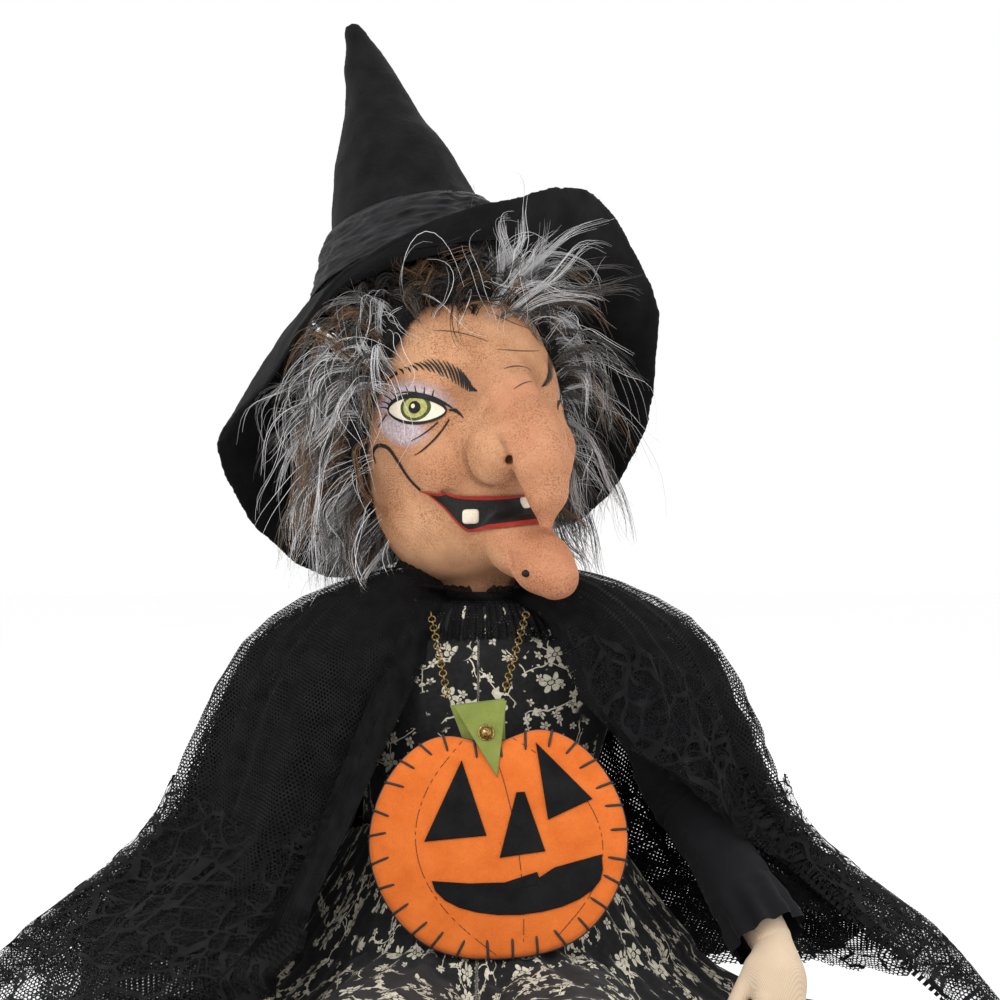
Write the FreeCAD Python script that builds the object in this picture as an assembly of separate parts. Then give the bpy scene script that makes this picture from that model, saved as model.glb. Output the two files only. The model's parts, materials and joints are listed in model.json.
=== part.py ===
"""Seated cloth witch figure with a motor-driven head, posable forearms and knees, and a felt pumpkin purse.

Millimetres. +Z is up and the figure faces -Y. The origin is on the neck axis, at the underside of the
base that the figure sits on. "left" and "right" are the figure's own, so its left side is +X.
"""

import FreeCAD
import Part

import math
import os

from FreeCAD import Matrix, Placement, Rotation, Vector

os.makedirs("parts", exist_ok=True)

# ---------------------------------------------------------------- driving dimensions
GAP = 0.4                     # clearance between pieces that only lie side by side

BASE_X, BASE_Y, BASE_H = 200.0, 150.0, 28.0
SCREW_X, SCREW_Y, SCREW_R = 180.0, 130.0, 2.25      # display screw holes through the base
BAY_X, BAY_Y0, BAY_Y1, BAY_TOP = 62.0, 8.0, 66.0, 19.6
DOOR_X, DOOR_Y0, DOOR_Z0, DOOR_T = 71.4, 2.5, 1.1, 2.0
CELL_R, CELL_L = 7.1, 50.0
SWITCH_TRAVEL = 4.0

POST_R, POST_BORE, POST_TOP = 8.0, 6.2, 262.0
PLATE_X, PLATE_Y, PLATE_T = 152.0, 30.0, 3.0         # shoulder plate on top of the post
MODULE, NECK_TEETH, PINION_TEETH = 1.0, 48, 16
GEAR_Z, GEAR_T = 268.5, 6.0
NECK_SHAFT_R = 4.0
MOTOR_R, MOTOR_H = 15.0, 36.0

TORSO = [                      # (height, half width, half depth) of the stuffed body
    (BASE_H + 0.2, 82.0, 60.0),
    (70.0, 84.0, 64.0),
    (140.0, 74.0, 60.0),
    (205.0, 76.0, 58.0),
    (262.0, 80.0, 52.0),
    (292.0, 52.0, 42.0),
    (300.0, 34.0, 32.0),
]
BODICE_T = 2.0
WAIST_Z = 150.0

SHOULDER = Vector(84, 0, 268.2)
ELBOW = Vector(130, -30, 175)
WRIST_LEFT = Vector(180, -106, 92)
WRIST_RIGHT = Vector(-150, -118, 96)
ROD_R = 3.0
ARM_R0, ARM_R1, ARM_END_R = 19.0, 16.5, 10.5
ELBOW_GAP = 14.0               # the stuffing is stitched flat this far each side of the elbow
SLEEVE_IN, SLEEVE_T = 21.5, 1.6

THIGH_R, SHIN_R, LEG_X, KNEE_X = 38.0, 27.0, 44.0, 64.0
KNEE_Y, ANKLE_Y = -296.0, -448.0
KNEE_Z = 30.0

HEAD_CENTRE = Vector(-12, 0, 405)
HEAD_YAW, HEAD_ROLL = 28.0, -6.0
SKULL = (67.0, 70.0, 104.0)    # half width, half depth, half height
HAT_BASE = Vector(-38, 28, 502)
HAT_APEX = Vector(-82, 76, 684)
HAT_AXIS = Vector(-0.25, 0.30, 0.92)       # square to the plane where crown and brim meet
HAT_RADII = [                  # (share of the crown's height, radius)
    (0.0, 75.0), (0.12, 63.0), (0.24, 53.0), (0.39, 43.0), (0.56, 33.0), (0.73, 22.0), (0.84, 14.5),
    (0.93, 8.5), (1.0, 5.0),
]
BRIM_EDGE = [                  # (angle round from the front, x, y, z) of the brim's free edge
    (0, -30, -66, 541), (25, 18, -46, 556), (50, 66, 6, 569), (75, 98, 38, 538), (95, 119, 58, 489),
    (115, 117, 76, 432), (135, 101, 90, 385), (155, 72, 106, 352), (180, 18, 122, 336), (205, -46, 122, 322),
    (230, -108, 96, 311), (250, -150, 62, 342), (270, -174, 24, 394), (290, -160, -6, 420),
    (310, -134, -30, 446), (335, -92, -58, 503), (360, -30, -66, 541),
]
FELT_T = 3.0
BRIM_SPRING = 0.42             # how far the brim keeps level before it bends, as a share of its reach
BRIM_SPRING_LOST = 0.26        # by how much less where it hangs straight down, on the right

PURSE_CENTRE = Vector(12, -113, 158)
PURSE_W, PURSE_H, PURSE_LEAN, FELT = 157.0, 146.0, 13.0, 2.6
PURSE_ROLL = 4.0
LINK_R, LINK_WIRE_R, LINK_PITCH = 2.2, 0.42, 3.4
PATCH_T = 1.3                  # the black felt of the purse's face

KNEE_STOP = 18.5               # the stuffing ends this far each side of the knee, so that the cloth can fold
HEM_SIDE, HEM_FRONT, HEM_BACK = 344.0, 318.0, 170.0


# ---------------------------------------------------------------- helpers
def save(name, shape):
    """Writes one node, after making sure that it is closed solids."""
    shape = shape if shape.ShapeType in ("Compound", "Solid") else Part.Compound(shape.Solids)
    if len(shape.Solids) == 1:
        shape = shape.Solids[0]
    print(name, len(shape.Solids), "valid" if shape.isValid() else "INVALID", round(shape.Volume))
    shape.exportStep(f"parts/{name}.step")
    return shape


def box(x0, x1, y0, y1, z0, z1):
    return Part.makeBox(x1 - x0, y1 - y0, z1 - z0, Vector(x0, y0, z0))


def rod(a, b, radius):
    return Part.makeCylinder(radius, (b - a).Length, a, b - a)


def ball(centre, radius):
    return Part.makeSphere(radius, centre)


def ellipsoid(centre, rx, ry, rz):
    scale = Matrix()
    scale.scale(rx, ry, rz)
    shape = Part.makeSphere(1.0).transformGeometry(scale)
    shape.translate(centre)
    return shape


def circle_at(centre, direction, radius):
    return Part.Wire(Part.Edge(Part.Circle(centre, direction, radius)))


def tapered(points, radii):
    """A solid through circles, each square to the line through its neighbours."""
    wires = []
    for i, centre in enumerate(points):
        along = points[min(i + 1, len(points) - 1)] - points[max(i - 1, 0)]
        wires.append(circle_at(centre, along, radii[i]))
    return Part.makeLoft(wires, True)


def bent_tube(points, radius, bend):
    """A rod along straight runs joined by arcs of the given radius."""
    edges, start = [], points[0]
    for before, corner, after in zip(points, points[1:], points[2:]):
        into, out = (corner - before).normalize(), (after - corner).normalize()
        half = into.getAngle(out) / 2
        back = bend * math.tan(half)
        a, b = corner - into * back, corner + out * back
        middle = corner + (out - into).normalize() * bend * (1 / math.cos(half) - 1)
        edges += [Part.LineSegment(start, a).toShape(), Part.Arc(a, middle, b).toShape()]
        start = b
    edges.append(Part.LineSegment(start, points[-1]).toShape())
    profile = circle_at(points[0], points[1] - points[0], radius)
    return Part.Wire(edges).makePipeShell([profile], True, False)


def ellipse_loft(rows, grow=0.0):
    """A solid through level ellipses given as (height, half width, half depth)."""
    wires = []
    for z, a, b in rows:
        wires.append(Part.Wire(Part.Edge(Part.Ellipse(Vector(0, 0, z), a + grow, b + grow))))
    return Part.makeLoft(wires, True)


def prism(points, normal, thickness):
    wire = Part.makePolygon(points + [points[0]])
    return Part.Face(wire).extrude(Vector(normal).normalize() * thickness)


def smooth(x):
    x = min(1.0, max(0.0, x))
    return x * x * (3 - 2 * x)


def between(rows, x):
    """Linear interpolation in rows of (x, value, ...), clamped at the ends."""
    if x <= rows[0][0]:
        return rows[0][1:]
    for low, high in zip(rows, rows[1:]):
        if x <= high[0]:
            share = (x - low[0]) / (high[0] - low[0])
            return tuple(a + (b - a) * share for a, b in zip(low[1:], high[1:]))
    return rows[-1][1:]


def flowing(rows, x):
    """A smooth curve through rows of (x, value, ...), clamped at the ends."""
    if x <= rows[0][0]:
        return rows[0][1:]
    for k in range(len(rows) - 1):
        if x <= rows[k + 1][0]:
            a, b, c, d = (rows[min(max(n, 0), len(rows) - 1)] for n in (k - 1, k, k + 1, k + 2))
            t = (x - b[0]) / (c[0] - b[0])
            into = [(v - u) / (c[0] - a[0]) * (c[0] - b[0]) for u, v in zip(a[1:], c[1:])]
            out = [(v - u) / (d[0] - b[0]) * (c[0] - b[0]) for u, v in zip(b[1:], d[1:])]
            ease = t * t * (3 - 2 * t)
            lead, tail = t * (1 - t) ** 2, t * t * (1 - t)
            return tuple(
                u + (v - u) * ease + m * lead - n * tail
                for u, v, m, n in zip(b[1:], c[1:], into, out)
            )
    return rows[-1][1:]


def sheet(grid, thickness, around=False):
    """A closed solid from a grid of points on its outer face, thickness deep on the far side.

    Rows run outwards and columns run round; around joins the last column to the first."""
    rows, cols = len(grid), len(grid[0])

    def at(i, j):
        if around:
            j %= cols
        return grid[max(0, min(rows - 1, i))][max(0, min(cols - 1, j))]

    outer, inner = [], []
    for i in range(rows):
        for j in range(cols):
            normal = (at(i + 1, j) - at(i - 1, j)).cross(at(i, j + 1) - at(i, j - 1)).normalize()
            outer.append(at(i, j))
            inner.append(at(i, j) - normal * thickness)
    count = rows * cols
    facets = []

    def quad(a, b, c, d):
        facets.extend([(a, b, c), (a, c, d)])

    last = cols if around else cols - 1
    for i in range(rows - 1):
        for j in range(last):
            k = (j + 1) % cols
            a, b, c, d = i * cols + j, (i + 1) * cols + j, (i + 1) * cols + k, i * cols + k
            quad(a, b, c, d)
            quad(count + a, count + d, count + c, count + b)
    for j in range(last):
        k = (j + 1) % cols
        quad(j, k, count + k, count + j)
        e, f = (rows - 1) * cols + j, (rows - 1) * cols + k
        quad(f, e, count + e, count + f)
    if not around:
        for i in range(rows - 1):
            a, b = i * cols, (i + 1) * cols
            quad(b, a, count + a, count + b)
            c, d = a + cols - 1, b + cols - 1
            quad(c, d, count + d, count + c)
    shape = Part.Shape()
    shape.makeShapeFromMesh((outer + inner, facets), 0.01)
    solid = Part.makeSolid(Part.Shell(shape.Faces))
    if solid.Volume < 0:
        solid.reverse()
    return solid


# ---------------------------------------------------------------- base and power
def base_parts():
    body = box(-BASE_X / 2, BASE_X / 2, -BASE_Y / 2, BASE_Y / 2, 0, BASE_H)
    body = body.makeFillet(6.0, [e for e in body.Edges if abs(e.tangentAt(0).z) > 0.99])
    bay = box(-BAY_X / 2, BAY_X / 2, BAY_Y0, BAY_Y1, 0, BAY_TOP)
    groove_x = DOOR_X / 2 + 0.3
    groove = box(-groove_x, groove_x, DOOR_Y0 - 0.5, BASE_Y, DOOR_Z0 - 0.1, DOOR_Z0 + DOOR_T + 0.1)
    window = box(-groove_x + 3, groove_x - 3, DOOR_Y0 + 3, BASE_Y, -1, DOOR_Z0)
    switch_slot = box(48 - 7, 48 + 7, BASE_Y / 2 - 6, BASE_Y, 12, 18)
    body = body.cut(bay).cut(groove).cut(window).cut(switch_slot)
    for sx in (-1, 1):
        for sy in (-1, 1):
            centre = Vector(sx * SCREW_X / 2, sy * SCREW_Y / 2, -1)
            body = body.cut(Part.makeCylinder(SCREW_R, BASE_H + 2, centre))
    save("base_box", body)

    door = box(-DOOR_X / 2, DOOR_X / 2, DOOR_Y0, BASE_Y / 2 - 0.5, DOOR_Z0, DOOR_Z0 + DOOR_T)
    for k in range(5):
        y = BASE_Y / 2 - 10 - 3 * k
        door = door.cut(box(-12, 12, y, y + 1.2, DOOR_Z0 - 0.1, DOOR_Z0 + 0.6))
    save("battery_door", door)

    cells, contacts = [], []
    for k in range(4):
        x = (k - 1.5) * 15.0
        y0 = BAY_Y0 + 4.0
        z = BAY_TOP - 0.6 - CELL_R
        can = Part.makeCylinder(CELL_R, CELL_L - 1.5, Vector(x, y0, z), Vector(0, 1, 0))
        tip = Part.makeCylinder(2.7, 1.5, Vector(x, y0 + CELL_L - 1.5, z), Vector(0, 1, 0))
        cells.append(can.fuse(tip))
        for y in (BAY_Y0 + 0.2, BAY_Y1 - 0.8):
            contacts.append(box(x - 5.5, x + 5.5, y, y + 0.6, z - 5.5, z + 5.5))
    save("battery_cells", Part.Compound(cells))
    save("battery_contacts", Part.Compound(contacts))

    knob = box(48 - 5, 48 + 0.8, BASE_Y / 2 - 5, BASE_Y / 2 + 2.5, 12.3, 17.7)
    save("power_switch", knob.makeFillet(0.6, knob.Edges))


# ---------------------------------------------------------------- frame and drive
def gear(teeth, thickness, bore, turn, tooth_share=0.45, rim=None):
    """A spur gear with involute flanks, standing on z 0."""
    pitch_r = MODULE * teeth / 2
    base_r = pitch_r * math.cos(math.radians(20))
    tip_r, root_r = pitch_r + 0.92 * MODULE, pitch_r - 1.25 * MODULE
    half = tooth_share * math.pi * MODULE / (2 * pitch_r)

    def involute(r):
        angle = math.acos(min(1.0, base_r / r))
        return math.tan(angle) - angle

    start_r = max(base_r, root_r)
    radii = [start_r + (tip_r - start_r) * k / 3 for k in range(4)]
    flank = [(r, half + involute(pitch_r) - involute(r)) for r in radii]
    flank.insert(0, (root_r, flank[0][1] + 0.02))
    points = []
    for n in range(teeth):
        middle = math.radians(turn) + 2 * math.pi * n / teeth
        for r, off in flank:
            points.append(Vector(r * math.cos(middle - off), r * math.sin(middle - off), 0))
        for r, off in reversed(flank):
            points.append(Vector(r * math.cos(middle + off), r * math.sin(middle + off), 0))
    wheel = prism(points, Vector(0, 0, 1), thickness)
    wheel = wheel.cut(Part.makeCylinder(bore, thickness + 2, Vector(0, 0, -1)))
    if rim:
        for k in range(6):
            a = math.radians(60 * k + 30)
            middle = Vector(rim[0] * math.cos(a), rim[0] * math.sin(a), -1)
            hole = Part.makeCylinder(rim[1], thickness + 2, middle)
            wheel = wheel.cut(hole)
    return wheel


def frame_parts():
    flange = Part.makeCylinder(28, 4, Vector(0, 0, BASE_H))
    flange = flange.fuse(Part.makeCylinder(13, 14, Vector(0, 0, BASE_H)))
    flange = flange.cut(Part.makeCylinder(POST_R + 0.02, 40, Vector(0, 0, BASE_H + 2)))
    screws = []
    for k in range(4):
        a = math.radians(45 + 90 * k)
        x, y = 20.5 * math.cos(a), 20.5 * math.sin(a)
        head = Part.makeCylinder(3.6, 2.6, Vector(x, y, BASE_H + 4))
        head = head.cut(Part.makeCylinder(1.3, 2, Vector(x, y, BASE_H + 5.2)))
        screws.append(head.fuse(Part.makeCylinder(1.9, 4, Vector(x, y, BASE_H + 0.05))))
        flange = flange.cut(Part.makeCylinder(2.0, 6, Vector(x, y, BASE_H - 1)))
    save("post_flange", flange)
    save("flange_screws", Part.Compound(screws))

    post = Part.makeCylinder(POST_R, POST_TOP - BASE_H - 2, Vector(0, 0, BASE_H + 2))
    save("spine_post", post.cut(Part.makeCylinder(POST_BORE, 300, Vector(0, 0, BASE_H - 1))))

    bush = Part.makeCylinder(POST_BORE - 0.01, 22, Vector(0, 0, POST_TOP - 22))
    bush = bush.fuse(Part.makeCylinder(9.5, PLATE_T + 1.2, Vector(0, 0, POST_TOP + PLATE_T - 1.2)).cut(
        Part.makeCylinder(12, PLATE_T - 1.2, Vector(0, 0, POST_TOP))))
    bush = bush.fuse(Part.makeCylinder(POST_BORE - 0.01, PLATE_T, Vector(0, 0, POST_TOP)))
    bush = bush.cut(Part.makeCylinder(NECK_SHAFT_R + 0.05, 60, Vector(0, 0, POST_TOP - 30)))
    plate = box(-PLATE_X / 2, PLATE_X / 2, -PLATE_Y / 2, PLATE_Y / 2, POST_TOP, POST_TOP + PLATE_T)
    plate = plate.makeFillet(6.0, [e for e in plate.Edges if abs(e.tangentAt(0).z) > 0.99])
    plate = plate.cut(Part.makeCylinder(9.55, 20, Vector(0, 0, POST_TOP - 5 + PLATE_T + 3.8)))
    plate = plate.cut(Part.makeCylinder(POST_BORE + 0.02, 20, Vector(0, 0, POST_TOP - 5)))

    reach = MODULE * (NECK_TEETH + PINION_TEETH) / 2 + 0.15
    motor_at = Vector(reach, 0, POST_TOP - MOTOR_H)
    plate = plate.cut(Part.makeCylinder(5.2, 20, Vector(reach, 0, POST_TOP - 5)))
    motor = Part.makeCylinder(MOTOR_R, MOTOR_H - 0.1, motor_at)
    motor = motor.makeFillet(1.5, [motor.Edges[0]])
    motor = motor.fuse(Part.makeCylinder(5.0, PLATE_T + 0.5, Vector(reach, 0, POST_TOP - 0.2)))
    motor = motor.cut(Part.makeCylinder(2.05, 14, Vector(reach, 0, POST_TOP - 8)))
    motor_screws = []
    for side in (-1, 1):
        at = Vector(reach, side * 10.5, POST_TOP - 3)
        motor = motor.cut(Part.makeCylinder(1.5, 4, at))
        plate = plate.cut(Part.makeCylinder(1.6, 20, at))
        head = Part.makeCylinder(2.6, 1.8, Vector(reach, side * 10.5, POST_TOP + PLATE_T))
        motor_screws.append(head.fuse(Part.makeCylinder(1.45, PLATE_T + 2.5, at + Vector(0, 0, 0.5))))
    save("neck_bush", bush)
    save("gearmotor", motor)
    save("motor_screws", Part.Compound(motor_screws))

    saddles = []
    for side in (-1, 1):
        x = side * 67.0
        saddle = box(x - 4, x + 4, -10, 10, POST_TOP + PLATE_T, POST_TOP + PLATE_T + 9.2)
        saddle = saddle.cut(box(x - 5, x + 5, -11, -5.5, POST_TOP + PLATE_T + 3, POST_TOP + 20))
        saddle = saddle.cut(box(x - 5, x + 5, 5.5, 11, POST_TOP + PLATE_T + 3, POST_TOP + 20))
        bore = Part.makeCylinder(ROD_R + 0.02, 20, Vector(x - 10, 0, SHOULDER.z), Vector(1, 0, 0))
        saddles.append(saddle.cut(bore))
    save("shoulder_plate", plate)
    save("rod_saddles", Part.Compound(saddles))

    shaft_top = GEAR_Z + 100.0
    shaft = Part.makeCylinder(NECK_SHAFT_R, shaft_top - POST_TOP + 20, Vector(0, 0, POST_TOP - 20))
    save("neck_shaft", shaft)
    neck_gear = gear(NECK_TEETH, GEAR_T, NECK_SHAFT_R + 0.02, 0.0, rim=(14.5, 3.2))
    neck_gear = neck_gear.fuse(Part.makeCylinder(8, 10, Vector(0, 0, 0)).cut(
        Part.makeCylinder(NECK_SHAFT_R + 0.02, 20, Vector(0, 0, -1))))
    neck_gear.translate(Vector(0, 0, GEAR_Z))
    save("neck_gear", neck_gear)
    pinion = gear(PINION_TEETH, GEAR_T + 1, 1.98, 360 / PINION_TEETH / 2)
    pinion = pinion.fuse(Part.makeCylinder(2.0, 18, Vector(0, 0, -11)))
    pinion.translate(Vector(reach, 0, GEAR_Z - 0.5))
    save("motor_pinion", pinion)

    lead_start = Vector(reach - 6, 11, motor_at.z - 0.3)
    lead = [
        lead_start, Vector(26, 11, 200), Vector(24, 20, 120), Vector(26, 26, 60),
        Vector(26, 26, BASE_H + 0.3),
    ]
    save("motor_lead", bent_tube(lead, 1.8, 30.0))


# ---------------------------------------------------------------- stuffed body and dress
def cavity():
    """The clear space in the stuffing round the post, motor and gears."""
    space = Part.makeCylinder(31, 40, Vector(0, 0, BASE_H - 1))
    space = space.fuse(Part.makeCylinder(13, 240, Vector(0, 0, BASE_H)))
    space = space.fuse(box(12, 34, 4, 34, BASE_H, 230))
    space = space.fuse(box(-78, 78, -17, 17, POST_TOP - 5, POST_TOP + 13))
    space = space.fuse(Part.makeCylinder(26.5, 26, Vector(0, 0, POST_TOP - 1)))
    space = space.fuse(Part.makeCylinder(17, 62, Vector(32, 0, 222)))
    return space.fuse(Part.makeCylinder(5.5, 40, Vector(0, 0, 275)))


def arm_side(side, wrist):
    """Shoulder, elbow and wrist points of one arm."""
    return (
        Vector(side * SHOULDER.x, SHOULDER.y, SHOULDER.z),
        Vector(side * ELBOW.x, ELBOW.y, ELBOW.z),
        wrist,
    )


ARMS = {"left": arm_side(1, WRIST_LEFT), "right": arm_side(-1, WRIST_RIGHT)}


def body_parts():
    torso = ellipse_loft(TORSO)
    outer = ellipse_loft(TORSO, GAP + BODICE_T)
    clear = ellipse_loft(TORSO, GAP + BODICE_T + 0.3)
    hollow = cavity()
    rods = []
    for shoulder, elbow, _ in ARMS.values():
        start = Vector(shoulder.x * 0.8, 0, shoulder.z)
        rods.append(rod(start, shoulder, ROD_R + 0.5).fuse(ball(shoulder, ROD_R + 0.5)))
        rods.append(rod(shoulder, elbow, ROD_R + 0.5))
    for r in rods:
        hollow = hollow.fuse(r)
    save("torso_stuffing", torso.cut(hollow))
    bodice = outer.cut(ellipse_loft(TORSO, GAP))
    bodice = bodice.common(box(-200, 200, -200, 200, WAIST_Z, 299.5)).cut(hollow)
    save("dress_bodice", bodice)
    return clear


def arm_parts(name, dress_room):
    shoulder, elbow, wrist = ARMS[name]
    side = 1 if shoulder.x > 0 else -1
    down = (elbow - shoulder).normalize()
    out = (wrist - elbow).normalize()
    axis = down.cross(out).normalize()

    start = Vector(shoulder.x - side * 22, 0, shoulder.z)
    steel = rod(start, shoulder, ROD_R).fuse(ball(shoulder, ROD_R))
    steel = steel.fuse(rod(shoulder, elbow - down * 9, ROD_R))
    ears = []
    for k in (-1, 1):
        face = elbow + axis * (k * 3.0 - 1.25)
        ear = Part.makeCylinder(5.0, 2.5, face, axis)
        web = prism(
            [face + axis.cross(down) * -4, face + axis.cross(down) * 4,
             face + axis.cross(down) * 4 - down * 11, face + axis.cross(down) * -4 - down * 11], axis, 2.5)
        ears.append(ear.fuse(web))
    yoke = Part.makeCylinder(5.0, 4.0, elbow - down * 12, down)
    steel = steel.fuse(ears[0]).fuse(ears[1]).fuse(yoke)
    steel = steel.cut(Part.makeCylinder(1.55, 20, elbow - axis * 10, axis))
    save(f"arm_rod_{name}", steel)

    pin = Part.makeCylinder(1.5, 9.6, elbow - axis * 4.8, axis)
    for k in (-1, 1):
        pin = pin.fuse(Part.makeCylinder(2.6, 1.2, elbow + axis * (4.45 if k > 0 else -5.65), axis))
    save(f"elbow_pin_{name}", pin)

    tongue = Part.makeCylinder(4.6, 3.0, elbow - axis * 1.5, axis)
    tongue = tongue.fuse(rod(elbow + out * 3, wrist + out * 20, 1.45))
    tongue = tongue.cut(Part.makeCylinder(1.55, 20, elbow - axis * 10, axis))
    save(f"forearm_rod_{name}", tongue)

    upper = ball(shoulder, ARM_R0 + 0.5).fuse(tapered(
        [shoulder, shoulder + down * 35, elbow - down * (ELBOW_GAP + 22), elbow - down * ELBOW_GAP],
        [ARM_R0, 18.0, ARM_R1, ARM_END_R]))
    hole = rod(shoulder - down * 40, elbow, ROD_R + 0.3).fuse(rod(start, shoulder, ROD_R + 0.6))
    save(f"upper_arm_{name}", upper.cut(hole).cut(dress_room))

    lower = tapered(
        [elbow + out * ELBOW_GAP, elbow + out * (ELBOW_GAP + 18), wrist - out * 12, wrist],
        [ARM_END_R, ARM_R1, 14.0, 12.0])
    save(f"forearm_{name}", lower.cut(rod(elbow, wrist + out * 30, 1.75)))

    sleeve_path = [shoulder + down * 16, elbow, wrist - out * 4]
    sleeve = bent_tube(sleeve_path, SLEEVE_IN + SLEEVE_T, 60.0).cut(bent_tube(
        [sleeve_path[0] - down * 5, elbow, wrist + out * 5], SLEEVE_IN, 60.0))
    save(f"sleeve_{name}", sleeve.cut(dress_room))

    drop = Vector(out.x * 0.35, out.y * 0.9, -0.75).normalize()
    across = drop.cross(Vector(side * 0.35, -0.8, 0.45)).normalize()
    palm_turn = Rotation(across, drop.cross(across), drop, "ZXY")
    palm = ellipsoid(Vector(0, 0, 0), 22, 13, 36)
    palm = palm.fuse(ellipsoid(Vector(18, 0, -4), 9, 8.5, 20))
    palm.Placement = Placement(wrist + drop * 26, palm_turn)
    hand = palm.cut(rod(elbow, wrist + out * 22, 1.75)).cut(lower)
    save(f"hand_{name}", hand)


def leg_parts(name, dress_room):
    side = 1 if name == "left" else -1
    hip = Vector(side * LEG_X, -40, THIGH_R + 0.5)
    knee = Vector(side * KNEE_X, KNEE_Y, KNEE_Z)
    ankle = Vector(side * (KNEE_X + 8), ANKLE_Y, SHIN_R - 1.5)
    along = (knee - hip).normalize()
    down = (ankle - knee).normalize()
    thigh = tapered([hip, hip + along * 120, knee - along * 44, knee - along * KNEE_STOP],
                    [THIGH_R, THIGH_R - 2, KNEE_Z - 1, 18.0])
    seat = box(-BASE_X / 2 - GAP, BASE_X / 2 + GAP, -BASE_Y / 2 - GAP, BASE_Y / 2 + GAP, -1, BASE_H + GAP)
    save(f"thigh_{name}", thigh.cut(seat).cut(dress_room))
    shin = tapered([knee + down * KNEE_STOP, knee + down * 42, ankle - down * 30, ankle],
                   [17.0, SHIN_R, 22.0, 19.0])
    save(f"shin_{name}", shin)

    flat = []
    for centre, along_leg, half_w, half_h in (
        (knee - along * KNEE_STOP, along, 18.0, 18.0), (knee, (along + down).normalize(), 24.0, 4.0),
        (knee + down * KNEE_STOP, down, 17.0, 17.0),
    ):
        ring = Part.Ellipse(Vector(0, 0, 0), half_w + 0.001, half_h)
        edge = Part.Edge(ring)
        across = Vector(0, 0, 1).cross(along_leg).normalize()
        edge.Placement = Placement(centre, Rotation(across, along_leg.cross(across), along_leg, "ZXY"))
        flat.append(Part.Wire(edge))
    save(f"knee_cloth_{name}", Part.makeLoft(flat, True, True))

    heel = ankle + down * 6
    leg = tapered([ankle - down * 26, ankle + down * 12], [26.0, 24.0])
    foot = tapered([heel, heel + Vector(0, -6, 26), heel + Vector(0, -4, 70), heel + Vector(0, -2, 104)],
                   [25.0, 24.0, 17.0, 6.0])
    boot = leg.fuse(foot).cut(tapered([ankle - down * 30, ankle + down * 0.5], [22.6, 19.6]))
    save(f"boot_{name}", boot.cut(box(-300, 300, -700, 0, -50, 0.3)))


# ---------------------------------------------------------------- cloth that hangs and spreads
def skirt_height(x, y):
    """The top of the skirt over the seat and legs, and how far a leg carries it there (0 to 1)."""
    r = math.hypot(x, y)
    spread = 8 + 135 * math.exp(-max(0.0, r - 80) / 75.0)
    if y > 0:
        spread *= 1 - 0.35 * smooth(y / 150)
    legs = 0.0
    for side in (-1, 1):
        share = min(1.0, max(0.0, (-40 - y) / (-40 - KNEE_Y)))
        centre = side * (LEG_X + (KNEE_X - LEG_X) * share)
        legs = max(legs, math.exp(-((x - centre) / 58.0) ** 4))
    lap = (85 - 12 * smooth((-y - 60) / 240)) * legs * (1 if y < -20 else smooth((60 - y) / 80))
    return max(spread, lap), legs if y < 0 else 0.0


def hem_radius(angle):
    """How far out the skirt's hem lies, at an angle from the front."""
    across, along = math.sin(angle), math.cos(angle)
    depth = HEM_FRONT if along > 0 else HEM_BACK
    return 1 / math.hypot(across / HEM_SIDE, along / depth)


def skirt():
    rows, cols = 12, 56
    grid = []
    for i in range(rows):
        s = i / (rows - 1)
        row = []
        for j in range(cols):
            a = 2 * math.pi * j / cols
            across, along = math.sin(a), math.cos(a)
            waist = 1 / math.hypot(across / 84.0, along / 69.0)
            waist *= 1 + 0.35 * smooth(s * 5) if s < 0.25 else 1.0
            r = waist + (hem_radius(a) - waist) * s ** 1.25
            x, y = r * across, -r * along
            z, carried = skirt_height(x, y)
            z += 14 * (1 - smooth(s * 3))
            folds = 7.0 * smooth((s - 0.35) * 2) * math.sin(11 * a + 1.3) * (1 - carried)
            row.append(Vector(x, y, max(5.5, z + folds + 2)))
        grid.append(row)
    save("dress_skirt", sheet(grid, 2.0, around=True))


CAPE_SIDE = [                  # (step from neck to hem, radius, height) at the figure's sides
    (0, 34, 304), (1, 70, 304), (2, 112, 298), (3, 150, 272), (4, 178, 215), (5, 197, 165), (6, 236, 125),
    (7, 286, 88), (8, 330, 38),
]
CAPE_BACK = [
    (0, 33, 304), (1, 52, 302), (2, 72, 290), (3, 86, 258), (4, 96, 205), (5, 108, 152), (6, 126, 104),
    (7, 158, 58), (8, 206, 24),
]
CAPE_FRONT = [
    (0, 34, 302), (1, 52, 297), (2, 72, 284), (3, 88, 254), (4, 100, 205), (5, 118, 162), (6, 150, 130),
    (7, 196, 116), (8, 236, 108),
]


def cape_point(angle, t):
    """A point of the cape, at an angle from the front, t running 0 at the neck to 8 at the hem."""
    side = flowing(CAPE_SIDE, t)
    end = flowing(CAPE_FRONT if math.cos(angle) > 0 else CAPE_BACK, t)
    share = math.sin(angle) ** 2
    r, z = (e + (s - e) * share for s, e in zip(side, end))
    fold = smooth(t / 5) * 5.0 * math.sin(9 * angle + 0.8)
    r += fold
    return Vector(r * math.sin(angle), -r * math.cos(angle), z)


def cape_opening(side, t):
    """Degrees from the front to the cape's edge: the left half swings open, the right half closes in."""
    if side > 0:
        return 34 + 36 * smooth((t - 3) / 3.0)
    return 34 + 2 * smooth((t - 4) / 1.5) - 11 * smooth((t - 5.5) / 2.5)


def cape_half(side):
    rows, cols = 17, 26
    grid = []
    for i in range(rows):
        t = 8.0 * i / (rows - 1)
        opening = cape_opening(side, t)
        row = []
        for j in range(cols):
            a = math.radians(opening + (179.6 - opening) * j / (cols - 1))
            p = cape_point(a, t)
            row.append(Vector(side * p.x, p.y, p.z))
        grid.append(row if side > 0 else row[::-1])
    return sheet(grid, 1.5)


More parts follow.
